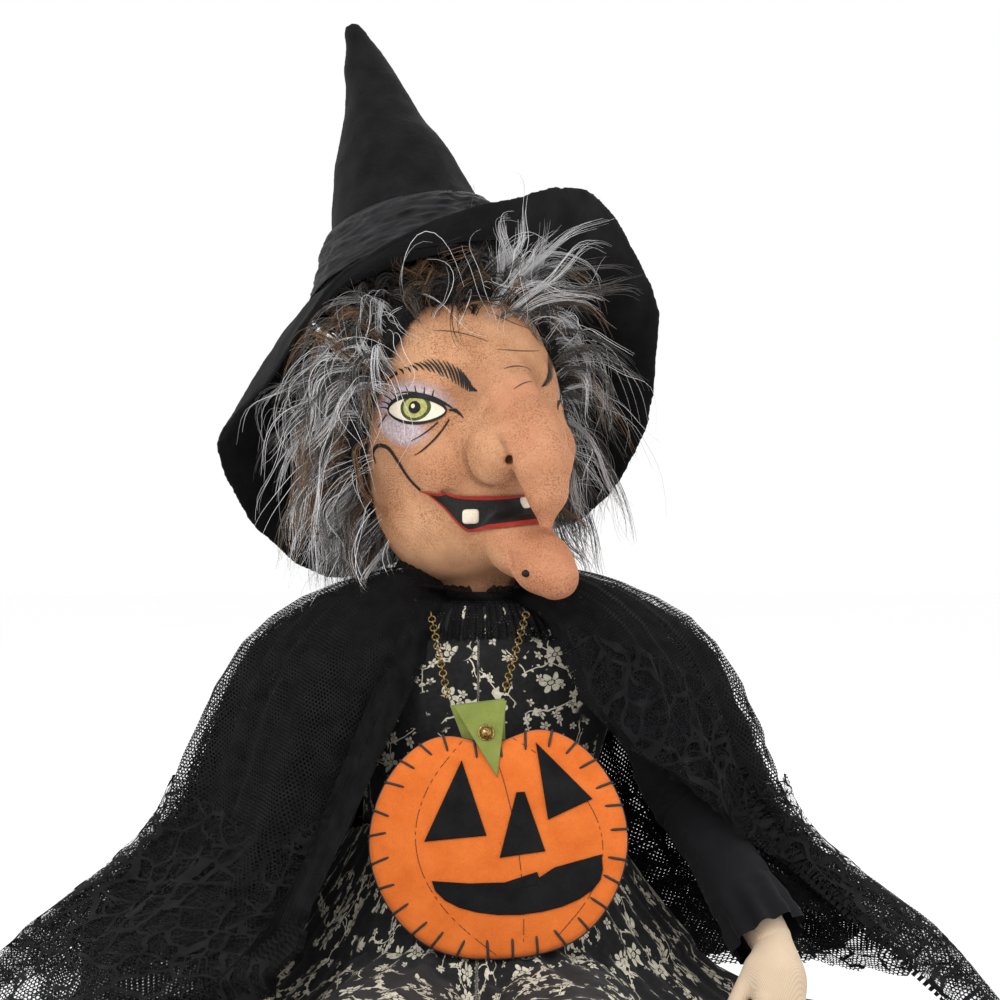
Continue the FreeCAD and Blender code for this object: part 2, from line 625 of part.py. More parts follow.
def cape_parts():
    save("cape_left", cape_half(1))
    save("cape_right", cape_half(-1))
    ring = Part.makeTorus(35, 4.4, Vector(0, 0, 309.2), Vector(0, 0, 1))
    save("cape_collar", ring.cut(box(-12, 12, -80, 0, 290, 330)))


# ---------------------------------------------------------------- head, hair and hat
HEAD_PLACE = Placement(
    HEAD_CENTRE,
    Rotation(Vector(0, 1, 0), HEAD_ROLL).multiply(Rotation(Vector(0, 0, 1), HEAD_YAW)),
)


def in_head(shape):
    shape = shape.copy()
    shape.transformShape(HEAD_PLACE.toMatrix(), True)
    return shape


def head_solid():
    skull = ellipsoid(Vector(0, 0, 5), *SKULL)
    jaw = ellipsoid(Vector(-7, -3, -48), 49, 51, 42)
    nose = tapered(
        [Vector(0, -44, 34), Vector(0, -72, 16), Vector(0, -96, -4), Vector(0, -108, -26),
         Vector(0, -108, -43), Vector(0, -101, -55)],
        [12.0, 18.0, 21.0, 18.0, 12.5, 5.5])
    chin = tapered(
        [Vector(0, -34, -60), Vector(0, -66, -72), Vector(0, -92, -86), Vector(0, -106, -94)],
        [25.0, 20.0, 17.5, 14.0])
    chin = chin.fuse(ball(Vector(0, -105, -93.5), 15.0))
    return skull.fuse(jaw).fuse(nose).fuse(chin)


def crown_row(s, grow=0.0):
    """Centre, direction and radius of the hat's crown, s running 0 at the brim to 1 at the tip."""
    line = HAT_APEX - HAT_BASE
    curl = Vector(-6.0 * smooth((s - 0.8) / 0.2), 0, 0)
    centre = HAT_BASE + line * s + curl
    share = smooth(s * 3)
    direction = Vector(HAT_AXIS).normalize() * (1 - share) + Vector(line).normalize() * share
    return centre, direction, between(HAT_RADII, s)[0] + grow


def crown_solid(s0, s1, grow, steps=9):
    wires = []
    for k in range(steps):
        centre, direction, radius = crown_row(s0 + (s1 - s0) * k / (steps - 1), grow)
        wires.append(circle_at(centre, direction, max(1.0, radius)))
    return Part.makeLoft(wires, True)


def brim_solid():
    """The floppy brim: each spoke leaves the crown in its plane and curves over to the free edge."""
    centre, direction, radius = crown_row(0.0, FELT_T * 0.2)
    direction = Vector(direction).normalize()
    side = Vector(0, 1, 0).cross(direction).normalize()
    front = side.cross(direction).normalize()
    front = front if front.y < 0 else front * -1
    rows, cols = 9, 72
    grid = [[] for _ in range(rows)]
    for j in range(cols):
        azimuth = 360.0 * j / cols
        edge = Vector(*flowing(BRIM_EDGE, azimuth))
        a = math.radians(azimuth)
        outwards = side * math.sin(a) + front * math.cos(a)
        start = centre + outwards * radius
        reach = (edge - start).Length
        droop = smooth((azimuth - 240) / 40) * smooth((355 - azimuth) / 20)
        pull = start + outwards * reach * (BRIM_SPRING - BRIM_SPRING_LOST * droop)
        for i in range(rows):
            s = i / (rows - 1)
            grid[i].append(start * (1 - s) ** 2 + pull * (2 * s * (1 - s)) + edge * s ** 2)
    return sheet(grid, FELT_T, around=True)


def head_parts():
    head = head_solid()
    neck_line = Vector(0, 0, 1)
    neck = Part.makeCylinder(24, 50, Vector(0, 0, 303), neck_line)
    socket = Part.makeCylinder(NECK_SHAFT_R + 0.02, 90, Vector(0, 0, 280))
    pocket = Part.makeCylinder(20, 6.4, Vector(0, 0, 345.8))
    stuffed = in_head(head).fuse(neck)
    save("head", stuffed.cut(socket).cut(pocket))

    board = Part.makeCylinder(19.5, 6, Vector(0, 0, 346))
    save("head_board", board.cut(Part.makeCylinder(NECK_SHAFT_R + 0.02, 20, Vector(0, 0, 340))))

    wig = ellipsoid(Vector(0, 4, 4), SKULL[0] + 11, SKULL[1] + 8, SKULL[2] + 2)
    face = ellipsoid(Vector(0, -70, -22), 60, 74, 104)
    wig = wig.cut(face).cut(ellipsoid(Vector(0, 0, 5), *[r + GAP for r in SKULL]))
    wig = wig.cut(ellipsoid(Vector(0, -6, -48), 50 + GAP, 52 + GAP, 42 + GAP))
    centre, direction, _ = crown_row(0.0)
    direction = Vector(direction).normalize()
    above = Part.makeCylinder(200, 200, centre - direction * (FELT_T + 1.6), direction)
    below = Part.makeBox(400, 400, 100, Vector(-200, -200, -152))
    brim = brim_solid()
    wig = in_head(wig.cut(below)).cut(above)
    save("wig", wig)

    crown = crown_solid(0.0, 1.0, 0.0).cut(crown_solid(-0.02, 0.93, -FELT_T))
    crown = crown.cut(in_head(ellipsoid(Vector(0, 0, 5), *[r + GAP for r in SKULL])))
    save("hat_crown", crown)
    band = crown_solid(0.02, 0.24, 2.8, 5).cut(crown_solid(-0.03, 0.30, 0.25, 6))
    save("hat_band", band)
    save("hat_brim", brim)


# ---------------------------------------------------------------- pumpkin purse
PURSE_PLACE = Placement(
    PURSE_CENTRE,
    Rotation(Vector(1, 0, 0), -PURSE_LEAN).multiply(Rotation(Vector(0, 1, 0), -PURSE_ROLL)),
)


def in_purse(shape):
    shape = shape.copy()
    shape.transformShape(PURSE_PLACE.toMatrix(), True)
    return shape


def pumpkin_outline():
    """The purse's edge in its own plane: a flattened round with a dip at the stem."""
    points = []
    for k in range(48):
        a = 2 * math.pi * k / 48
        dip = 11.0 * math.exp(-((a - math.pi / 2) / 0.28) ** 2)
        x = PURSE_W / 2 * math.cos(a)
        z = (PURSE_H / 2) * math.sin(a) * (1 - 0.03 * math.cos(4 * a)) - dip
        points.append(Vector(x, 0, z))
    return points


def flat_piece(points, y, thickness):
    """A felt piece in the purse's plane, its front face thickness ahead of y."""
    lifted = [Vector(x, y, z) for x, z in points]
    return prism(lifted, Vector(0, -1, 0), thickness)


def purse_parts():
    outline = pumpkin_outline()
    curve = Part.BSplineCurve()
    curve.interpolate(outline, PeriodicFlag=True)
    face = Part.Face(Part.Wire(curve.toShape()))
    front = face.extrude(Vector(0, -FELT, 0))
    back = face.extrude(Vector(0, FELT, 0))
    save("purse_front", in_purse(front))
    save("purse_back", in_purse(back))

    y = -FELT - 0.05
    eyes = [
        flat_piece([(-45, 2), (-7, 3), (-19, 50)], y, PATCH_T),
        flat_piece([(27, 58), (59, 21), (31, 10)], y, PATCH_T),
    ]
    nose = flat_piece([(0, -11), (28, -9), (18, 28), (13, 28)], y, PATCH_T)
    smile = []
    for k in range(13):
        a = math.pi + math.pi * k / 12
        smile.append((10 + 52 * math.cos(a), -22 + 24 * math.sin(a)))
    smile += [(62, -13), (33, -19), (32, -26), (24, -28), (22, -21), (2, -26), (-20, -25)]
    mouth = flat_piece(smile, y, PATCH_T)
    save("purse_face", in_purse(Part.Compound(eyes + [nose, mouth])))

    top = PURSE_H / 2 + 15.0
    tab = flat_piece([(-24, top - 2), (10, top), (8, 50), (-12, 46)], FELT + 2.3, 2.0)
    save("purse_tab", in_purse(tab))
    flap = flat_piece([(-22, top - 4), (11, top - 3), (2, 38)], -FELT - 1.6, 2.0)
    save("purse_flap", in_purse(flap))
    bead = ball(Vector(-3, -FELT - 3.6 - 2.6, top - 24), 4.0).cut(
        box(-10, 5, -FELT - 3.62, 0, top - 40, top))
    ring = Part.makeTorus(4.4, 0.7, Vector(-3, -FELT - 4.32, top - 24), Vector(0, 1, 0))
    save("flap_bead", in_purse(bead.fuse(ring)))

    links = []
    for start, end in (
        (Vector(10, FELT + 1.5, top + 2.2), Vector(30, -52, 294)),
        (Vector(-25, FELT + 1.5, top + 0.4), Vector(-31, -52, 294)),
    ):
        a = PURSE_PLACE.multVec(start)
        run = end - a
        along = Vector(run).normalize()
        count = int(run.Length / LINK_PITCH)
        for k in range(count):
            turn = Vector(0, 1, 0) if k % 2 else Vector(1, 0, 0)
            direction = turn - along * turn.dot(along)
            centre = a + along * LINK_PITCH * (k + 0.5)
            links.append(Part.makeTorus(LINK_R, LINK_WIRE_R, centre, direction))
    save("purse_chain", Part.Compound(links))


# ---------------------------------------------------------------- build
base_parts()
frame_parts()
DRESS_ROOM = body_parts()
for arm in ARMS:
    arm_parts(arm, DRESS_ROOM)
for leg in ("left", "right"):
    leg_parts(leg, DRESS_ROOM)
skirt()
cape_parts()
head_parts()
purse_parts()
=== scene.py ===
import json
import math
import random

import bpy
import numpy as np
from mathutils import Matrix, Vector
from mathutils.bvhtree import BVHTree
from mathutils.noise import noise as perlin

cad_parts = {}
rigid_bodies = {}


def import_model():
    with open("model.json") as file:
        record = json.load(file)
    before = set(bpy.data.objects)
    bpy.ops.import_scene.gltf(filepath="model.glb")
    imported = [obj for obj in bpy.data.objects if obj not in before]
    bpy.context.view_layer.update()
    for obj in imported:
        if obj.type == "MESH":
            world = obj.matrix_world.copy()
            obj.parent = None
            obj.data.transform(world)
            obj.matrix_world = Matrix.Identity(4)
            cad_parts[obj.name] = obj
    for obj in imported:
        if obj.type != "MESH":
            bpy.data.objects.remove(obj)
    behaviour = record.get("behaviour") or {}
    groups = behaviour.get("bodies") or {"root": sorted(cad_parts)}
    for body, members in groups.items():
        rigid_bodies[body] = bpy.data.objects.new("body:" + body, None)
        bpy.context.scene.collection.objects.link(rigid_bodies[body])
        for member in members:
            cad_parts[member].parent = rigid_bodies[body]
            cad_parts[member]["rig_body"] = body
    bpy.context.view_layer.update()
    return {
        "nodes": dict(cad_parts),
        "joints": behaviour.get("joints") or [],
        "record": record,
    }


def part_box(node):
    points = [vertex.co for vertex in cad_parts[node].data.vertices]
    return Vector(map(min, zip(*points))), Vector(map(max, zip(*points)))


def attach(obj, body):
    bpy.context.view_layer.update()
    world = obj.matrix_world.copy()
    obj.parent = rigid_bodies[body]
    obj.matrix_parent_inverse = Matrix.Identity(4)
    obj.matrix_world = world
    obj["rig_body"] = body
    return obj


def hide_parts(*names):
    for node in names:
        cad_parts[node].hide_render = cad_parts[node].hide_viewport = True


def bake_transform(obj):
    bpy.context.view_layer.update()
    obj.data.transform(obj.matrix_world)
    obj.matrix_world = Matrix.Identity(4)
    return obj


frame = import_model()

MM = 0.001
random.seed(11)
rng = np.random.default_rng(11)

# ---------------------------------------------------------------- driving sizes, in mm and degrees
ROOT = "figure"
HEAD_CENTRE = np.array([-12.0, 0.0, 405.0])
HEAD_YAW, HEAD_ROLL = math.radians(28.0), math.radians(-6.0)
SKULL = (67.0, 70.0, 104.0)
SKIN_MM_PER_DEGREE = 1.15
FAR_SIDE_SHIFT = 18.0
EYE_POINT = Vector((13, -1800, 364))
CAPE_HUB = Vector((0, 0, 120))
CAPE_WIDTH_MM = 200.0
NECK_BUNCH = 17.0
PURSE_LEAN, PURSE_ROLL, FELT = math.radians(13), math.radians(4), 2.6


# ---------------------------------------------------------------- small maths
def smooth(x):
    x = np.clip(x, 0.0, 1.0)
    return x * x * (3 - 2 * x)


def flowing(rows, x):
    """A smooth curve through rows of (x, value, ...), clamped at the ends."""
    if x <= rows[0][0]:
        return np.array(rows[0][1:], float)
    for k in range(len(rows) - 1):
        if x <= rows[k + 1][0]:
            a, b, c, d = (np.array(rows[min(max(n, 0), len(rows) - 1)], float)
                          for n in (k - 1, k, k + 1, k + 2))
            step = c[0] - b[0]
            t = (x - b[0]) / step
            into = (c - a) / (c[0] - a[0]) * step
            out = (d - b) / (d[0] - b[0]) * step
            v = b + (c - b) * t * t * (3 - 2 * t) + into * t * (1 - t) ** 2 - out * t * t * (1 - t)
            return v[1:]
    return np.array(rows[-1][1:], float)


def through(points, count, closed=False):
    """Evenly stepped points of a smooth curve through the given ones."""
    p = [np.array(q, float) for q in points]
    if closed:
        p = p + [p[0]]
    rows = [(i, *q) for i, q in enumerate(p)]
    if closed:
        rows = [(-1, *p[-2])] + rows + [(len(p), *p[1])]
    return np.array([flowing(rows, (len(p) - 1) * i / (count if closed else count - 1))
                     for i in range(count)])


def unit(v):
    v = np.asarray(v, float)
    return v / np.linalg.norm(v)


def field(p, scale, seed=0.0):
    """Perlin noise at each row of p."""
    return np.array([perlin(Vector((q[0] * scale + seed, q[1] * scale - seed, q[2] * scale + 2 * seed)))
                     for q in p])


def head_turn():
    cy, sy, cr, sr = math.cos(HEAD_YAW), math.sin(HEAD_YAW), math.cos(HEAD_ROLL), math.sin(HEAD_ROLL)
    yaw = np.array([[cy, -sy, 0], [sy, cy, 0], [0, 0, 1]])
    roll = np.array([[cr, 0, sr], [0, 1, 0], [-sr, 0, cr]])
    return roll @ yaw


TURN = head_turn()


def head_to_row(p):
    """Points from the head's own axes to the frame's."""
    return np.asarray(p, float) @ TURN.T + HEAD_CENTRE


# ---------------------------------------------------------------- reading the frame
def node_points(node):
    mesh = frame["nodes"][node].data
    flat_list = np.zeros(len(mesh.vertices) * 3, np.float32)
    mesh.vertices.foreach_get("co", flat_list)
    return flat_list.reshape(-1, 3).astype(float) / MM


def node_tree(node):
    mesh = frame["nodes"][node].data
    return BVHTree.FromPolygons([Vector(v) for v in node_points(node)],
                                [tuple(p.vertices) for p in mesh.polygons])


def node_middle(*nodes):
    low = np.min([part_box(n)[0] for n in nodes], axis=0)
    high = np.max([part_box(n)[1] for n in nodes], axis=0)
    return (low + high) / 2 / MM


def long_axis(node, near):
    """The two ends of a long node's middle line, the end closer to near first."""
    p = node_points(node)
    middle = (p.min(axis=0) + p.max(axis=0)) / 2
    way = np.linalg.svd(p - p.mean(axis=0), full_matrices=False)[2][0]
    along = (p - middle) @ way
    ends = [middle + way * along.min(), middle + way * along.max()]
    return sorted(ends, key=lambda q: np.linalg.norm(q - np.asarray(near, float)))


def anchor(joint):
    """Where a joint turns, in mm."""
    return np.array(next(j["pos_m"] for j in frame["joints"] if j["name"] == joint), float) / MM


def stepped(points, count):
    """Evenly spaced points along a line of many."""
    p = np.array(points, float)
    run = np.concatenate([[0], np.cumsum(np.linalg.norm(np.diff(p, axis=0), axis=1))])
    at = np.linspace(0, run[-1], count)
    return np.stack([np.interp(at, run, p[:, k]) for k in range(3)], axis=1)


# ---------------------------------------------------------------- making pieces
def piece(name, verts, faces, mat, body=None, uv=None, flat=False):
    """A mesh from points in mm."""
    mesh = bpy.data.meshes.new(name)
    mesh.from_pydata([tuple(v) for v in np.asarray(verts, float) * MM], [],
                     [tuple(int(i) for i in f) for f in faces])
    mesh.validate()
    mesh.update()
    if uv is not None:
        layer = mesh.uv_layers.new(name="UVMap")
        loops = np.zeros(len(mesh.loops), np.int32)
        mesh.loops.foreach_get("vertex_index", loops)
        layer.data.foreach_set("uv", np.asarray(uv, np.float32)[loops].ravel())
    if not flat:
        mesh.polygons.foreach_set("use_smooth", [True] * len(mesh.polygons))
    obj = bpy.data.objects.new(name, mesh)
    bpy.context.scene.collection.objects.link(obj)
    mesh.materials.append(mat)
    if body:
        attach(obj, body)
    return obj


def grid_faces(rows, cols, around=False, start=0):
    last = cols if around else cols - 1
    return [(start + i * cols + j, start + (i + 1) * cols + j, start + (i + 1) * cols + (j + 1) % cols,
             start + i * cols + (j + 1) % cols) for i in range(rows - 1) for j in range(last)]


def grid_piece(name, grid, mat, body, around=False, uv=None, thick=0.0):
    """A cloth from rows and columns of points. uv is in metres along the cloth."""
    g = np.asarray(grid, float)
    rows, cols = g.shape[:2]
    if uv is None:
        across = np.linalg.norm(np.diff(g, axis=1), axis=2)
        down = np.linalg.norm(np.diff(g, axis=0), axis=2)
        u = np.concatenate([np.zeros((rows, 1)), np.cumsum(across, axis=1)], axis=1)
        u = np.repeat(u.mean(axis=0)[None], rows, axis=0)
        v = np.concatenate([np.zeros((1, cols)), np.cumsum(down, axis=0)], axis=0)
        v = np.repeat(v.mean(axis=1)[:, None], cols, axis=1)
        uv = np.stack([u, v], axis=2) * MM
    obj = piece(name, g.reshape(-1, 3), grid_faces(rows, cols, around), mat, None, uv.reshape(-1, 2))
    if thick:
        thicken(obj, thick)
    if body:
        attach(obj, body)
    return obj


def cut_sheet(obj, grid, around=False):
    """Sums the area of a cloth's grid, in square mm; the sum is not kept."""
    g = np.asarray(grid, float)
    if around:
        g = np.concatenate([g, g[:, :1]], axis=1)
    area = 0.0
    for i in range(len(g) - 1):
        a, b = g[i + 1, :-1] - g[i, :-1], g[i, 1:] - g[i, :-1]
        area += float(np.linalg.norm(np.cross(a, b), axis=1).sum())


def thicken(obj, thickness):
    mod = obj.modifiers.new("thick", "SOLIDIFY")
    mod.thickness = thickness * MM
    mod.offset = -1.0
    bake(obj)


def bake(obj):
    """Applies the modifiers."""
    graph = bpy.context.evaluated_depsgraph_get()
    mesh = bpy.data.meshes.new_from_object(obj.evaluated_get(graph))
    obj.modifiers.clear()
    obj.data = mesh


def surface_nets(distance, low, high, step):
    """A smooth mesh of the surface where distance is 0, in mm."""
    axes = [np.arange(a, b + step, step) for a, b in zip(low, high)]
    d = distance(*np.meshgrid(*axes, indexing="ij")).astype(np.float32)
    cells = tuple(n - 1 for n in d.shape)
    total, count = np.zeros(cells + (3,), np.float32), np.zeros(cells, np.float32)
    index = np.stack(np.meshgrid(*[np.arange(n) for n in cells], indexing="ij"), axis=3).astype(np.float32)
    for axis in range(3):
        b, c = [k for k in range(3) if k != axis]
        for ob in (0, 1):
            for oc in (0, 1):
                low_cut, high_cut = [None] * 3, [None] * 3
                low_cut[axis], high_cut[axis] = slice(0, cells[axis]), slice(1, cells[axis] + 1)
                for k, o in ((b, ob), (c, oc)):
                    low_cut[k] = high_cut[k] = slice(o, o + cells[k])
                d0, d1 = d[tuple(low_cut)], d[tuple(high_cut)]
                cross = (d0 < 0) != (d1 < 0)
                t = np.where(cross, d0 / np.where(cross, d0 - d1, 1), 0)
                at = index.copy()
                at[..., axis] += t
                at[..., b] += ob
                at[..., c] += oc
                total += at * cross[..., None]
                count += cross
    used = count > 0
    number = np.full(cells, -1, np.int64)
    number[used] = np.arange(used.sum())
    verts = total[used] / count[used][:, None] * step + np.array([a[0] for a in axes])
    faces = []
    for axis in range(3):
        b, c = [(1, 2), (2, 0), (0, 1)][axis]
        cut0, cut1 = [slice(1, n) for n in cells], [slice(1, n) for n in cells]
        cut0[axis], cut1[axis] = slice(0, cells[axis]), slice(1, cells[axis] + 1)
        d0, d1 = d[tuple(cut0)], d[tuple(cut1)]
        for sign in (True, False):
            hit = (d0 < 0) & (d1 >= 0) if sign else (d0 >= 0) & (d1 < 0)
            where = np.argwhere(hit)
            for k in range(3):
                if k != axis:
                    where[:, k] += 1
            quad = []
            for ob, oc in ((-1, -1), (0, -1), (0, 0), (-1, 0)):
                w = where.copy()
                w[:, b] += ob
                w[:, c] += oc
                quad.append(number[w[:, 0], w[:, 1], w[:, 2]])
            quad = np.stack(quad, axis=1)
            faces.append(quad if sign else quad[:, ::-1])
    faces = np.concatenate(faces)
    return verts, faces[(faces >= 0).all(axis=1)]


def d_ellipsoid(x, y, z, centre, radii):
    q = [(a - c) for a, c in zip((x, y, z), centre)]
    k0 = np.sqrt(sum((a / r) ** 2 for a, r in zip(q, radii)))
    k1 = np.sqrt(sum((a / r ** 2) ** 2 for a, r in zip(q, radii))) + 1e-9
    return k0 * (k0 - 1) / k1


def d_cone(x, y, z, a, b, ra, rb):
    ab = [q - p for p, q in zip(a, b)]
    t = sum((p - q) * m for p, q, m in zip((x, y, z), a, ab)) / sum(m * m for m in ab)
    t = np.clip(t, 0, 1)
    gap = np.sqrt(sum((p - q - t * m) ** 2 for p, q, m in zip((x, y, z), a, ab)))
    return gap - (ra + (rb - ra) * t)


def d_chain(x, y, z, points, radii, k=4.0):
    d = None
    for a, b, ra, rb in zip(points, points[1:], radii, radii[1:]):
        e = d_cone(x, y, z, a, b, ra, rb)
        d = e if d is None else join(d, e, k)
    return d


def join(a, b, k):
    h = np.clip(0.5 + 0.5 * (b - a) / k, 0, 1)
    return b + (a - b) * h - k * h * (1 - h)


def carve(a, b, k):
    return -join(-a, b, k)


# ---------------------------------------------------------------- materials
class Paint:
    """A short way to write node materials."""

    def __init__(self, name, roughness=0.8, sheen=0.0, metallic=0.0, specular=0.5):
        self.mat = bpy.data.materials.new(name)
        self.mat.use_nodes = True
        self.nodes, self.links = self.mat.node_tree.nodes, self.mat.node_tree.links
        self.bsdf = self.nodes["Principled BSDF"]
        self.set("Roughness", roughness)
        self.set("Metallic", metallic)
        self.set("Specular IOR Level", specular)
        if sheen:
            self.set("Sheen Weight", sheen)
            self.set("Sheen Roughness", 0.5)

    def set(self, socket, value):
        if hasattr(value, "is_output") or hasattr(value, "links"):
            self.links.new(value, self.bsdf.inputs[socket])
        else:
            self.bsdf.inputs[socket].default_value = value

    def node(self, kind, inputs=(), **props):
        n = self.nodes.new(kind)
        for k, v in props.items():
            setattr(n, k, v)
        for k, v in dict(inputs).items():
            if isinstance(v, bpy.types.NodeSocket):
                self.links.new(v, n.inputs[k])
            else:
                n.inputs[k].default_value = v
        return n

    def place(self, kind="Object"):
        return self.node("ShaderNodeTexCoord").outputs[kind]

    def noise(self, scale, detail=4.0, vector=None, rough=0.6):
        vector = vector or self.place()
        return self.node("ShaderNodeTexNoise", {"Vector": vector, "Scale": scale, "Detail": detail,
                                                "Roughness": rough}).outputs["Fac"]

    def ramp(self, fac, stops, kind="LINEAR"):
        n = self.node("ShaderNodeValToRGB", {"Fac": fac})
        n.color_ramp.interpolation = kind
        e = n.color_ramp.elements
        while len(e) < len(stops):
            e.new(0.5)
        for k, (at, colour) in enumerate(stops):
            e[k].position = at
            colour = (colour,) * 3 if isinstance(colour, (int, float)) else colour
            e[k].color = (*colour, 1.0)
        return n.outputs["Color"]

    def maths(self, op, a, b=0.0, c=0.0):
        return self.node("ShaderNodeMath", {0: a, 1: b, 2: c}, operation=op).outputs[0]

    def vec(self, op, a, b=(0, 0, 0)):
        n = self.node("ShaderNodeVectorMath", {0: a, 1: b}, operation=op)
        return n.outputs["Value"] if op in ("DOT_PRODUCT", "LENGTH", "DISTANCE") else n.outputs["Vector"]

    def mix(self, fac, a, b, blend="MIX"):
        n = self.node("ShaderNodeMix", {0: fac}, data_type="RGBA", blend_type=blend)
        for k, v in ((6, a), (7, b)):
            if isinstance(v, bpy.types.NodeSocket):
                self.links.new(v, n.inputs[k])
            else:
                n.inputs[k].default_value = (*v, 1.0)
        return n.outputs[2]

    def bump(self, height, strength=0.3, distance=0.0006):
        n = self.node("ShaderNodeBump", {"Height": height, "Strength": strength, "Distance": distance})
        self.links.new(n.outputs["Normal"], self.bsdf.inputs["Normal"])

    def attribute(self, name):
        return self.node("ShaderNodeAttribute", attribute_name=name).outputs["Fac"]

    def weave(self, pitch, vector=None):
        """Crossing threads, 0 to 1, at a pitch in metres."""
        vector = vector or self.place("UV")
        turns = 2 * math.pi / pitch
        x = self.node("ShaderNodeSeparateXYZ", {0: vector})
        a = self.maths("SINE", self.maths("MULTIPLY", x.outputs[0], turns))
        b = self.maths("SINE", self.maths("MULTIPLY", x.outputs[1], turns))
        return self.maths("ADD", self.maths("MULTIPLY", self.maths("MULTIPLY", a, b), 0.5), 0.5)


def felt(name, colour, light, coarse=60.0, sheen=0.5, specular=0.2):
    p = Paint(name, 0.93, sheen, specular=specular)
    broad, fine = p.noise(coarse, 5), p.noise(1400, 6, rough=0.8)
    fibres = p.node("ShaderNodeTexVoronoi", {"Vector": p.place(), "Scale": 2200.0,
                                             "Randomness": 1.0}).outputs["Distance"]
    both = p.maths("ADD", p.maths("MULTIPLY", broad, 0.45), p.maths("MULTIPLY", fine, 0.55))
    p.set("Base Color", p.ramp(both, [(0.36, colour), (0.66, light)]))
    p.bump(p.maths("ADD", fine, p.maths("MULTIPLY", fibres, 0.6)), 0.55, 0.0006)
    return p.mat


def cloth(name, colour, light, pitch=0.0007, roughness=0.85, sheen=0.2, coords="UV", strength=0.35,
          specular=0.3):
    p = Paint(name, roughness, sheen, specular=specular)
    threads = p.weave(pitch, p.place(coords))
    broad = p.noise(28, 4)
    fac = p.maths("ADD", p.maths("MULTIPLY", threads, 0.5), p.maths("MULTIPLY", broad, 0.5))
    p.set("Base Color", p.ramp(fac, [(0.2, colour), (0.75, light)]))
    p.bump(p.maths("ADD", threads, p.noise(500, 3)), strength, 0.0003)
    return p.mat


def face_cloth():
    """Brushed cotton painted tan, redder on the nose and chin, with a fine brown speckle, and darkened
    towards dark brown by painted shade in the creases and hollows, under the jaw and at the sides of the
    head.
    """
    p = Paint("face_cloth_paint", 0.88, specular=0.2)
    blush, shade = p.attribute("blush"), p.attribute("shade")
    tan = p.ramp(p.noise(30, 5), [(0.35, (0.52, 0.245, 0.120)), (0.65, (0.68, 0.37, 0.205))])
    red = p.ramp(p.noise(44, 5), [(0.35, (0.46, 0.150, 0.075)), (0.65, (0.62, 0.255, 0.145))])
    colour = p.mix(blush, tan, red)
    specks = p.ramp(p.noise(820, 3, rough=0.8), [(0.47, 0.0), (0.62, 1.0)])
    patches = p.ramp(p.noise(38, 4), [(0.35, 0.12), (0.65, 0.85)])
    colour = p.mix(p.maths("MULTIPLY", specks, patches), colour, (0.20, 0.062, 0.024))
    pale = p.ramp(p.noise(1200, 3, rough=0.8), [(0.55, 0.0), (0.68, 1.0)])
    colour = p.mix(p.maths("MULTIPLY", pale, 0.35), colour, (0.74, 0.42, 0.24))
    # Painted shade: the shade attribute darkens the paint where shade falls on the head.
    colour = p.mix(p.maths("MULTIPLY", shade, 0.85), colour, (0.10, 0.028, 0.012))
    p.set("Base Color", colour)
    x = p.node("ShaderNodeSeparateXYZ", {0: p.place()})
    pitch = 2 * math.pi / 0.0011
    a = p.maths("SINE", p.maths("MULTIPLY", p.maths("ADD", x.outputs[0], x.outputs[1]), pitch))
    b = p.maths("SINE", p.maths("MULTIPLY", x.outputs[2], pitch))
    p.bump(p.maths("ADD", p.maths("MULTIPLY", a, b), p.noise(700, 4)), 0.5, 0.0005)
    return p.mat


def paint(name, colour, light, roughness=0.6, alpha=None):
    p = Paint(name, roughness, specular=0.22)
    fac = p.noise(600, 4)
    p.set("Base Color", p.ramp(fac, [(0.3, colour), (0.7, light)]))
    p.bump(p.noise(900, 3), 0.25, 0.0003)
    if alpha:
        speckle = p.noise(1100, 4, rough=0.8)
        rim = p.node("ShaderNodeSeparateXYZ", {0: p.place("UV")}).outputs[0]
        soft = p.ramp(rim, [(0.55, 1.0), (1.0, 0.0)])
        grain = p.ramp(speckle, [(0.32, 0.25), (0.52, 1.0)])
        p.set("Alpha", p.maths("MULTIPLY", p.maths("MULTIPLY", soft, grain), alpha))
    return p.mat


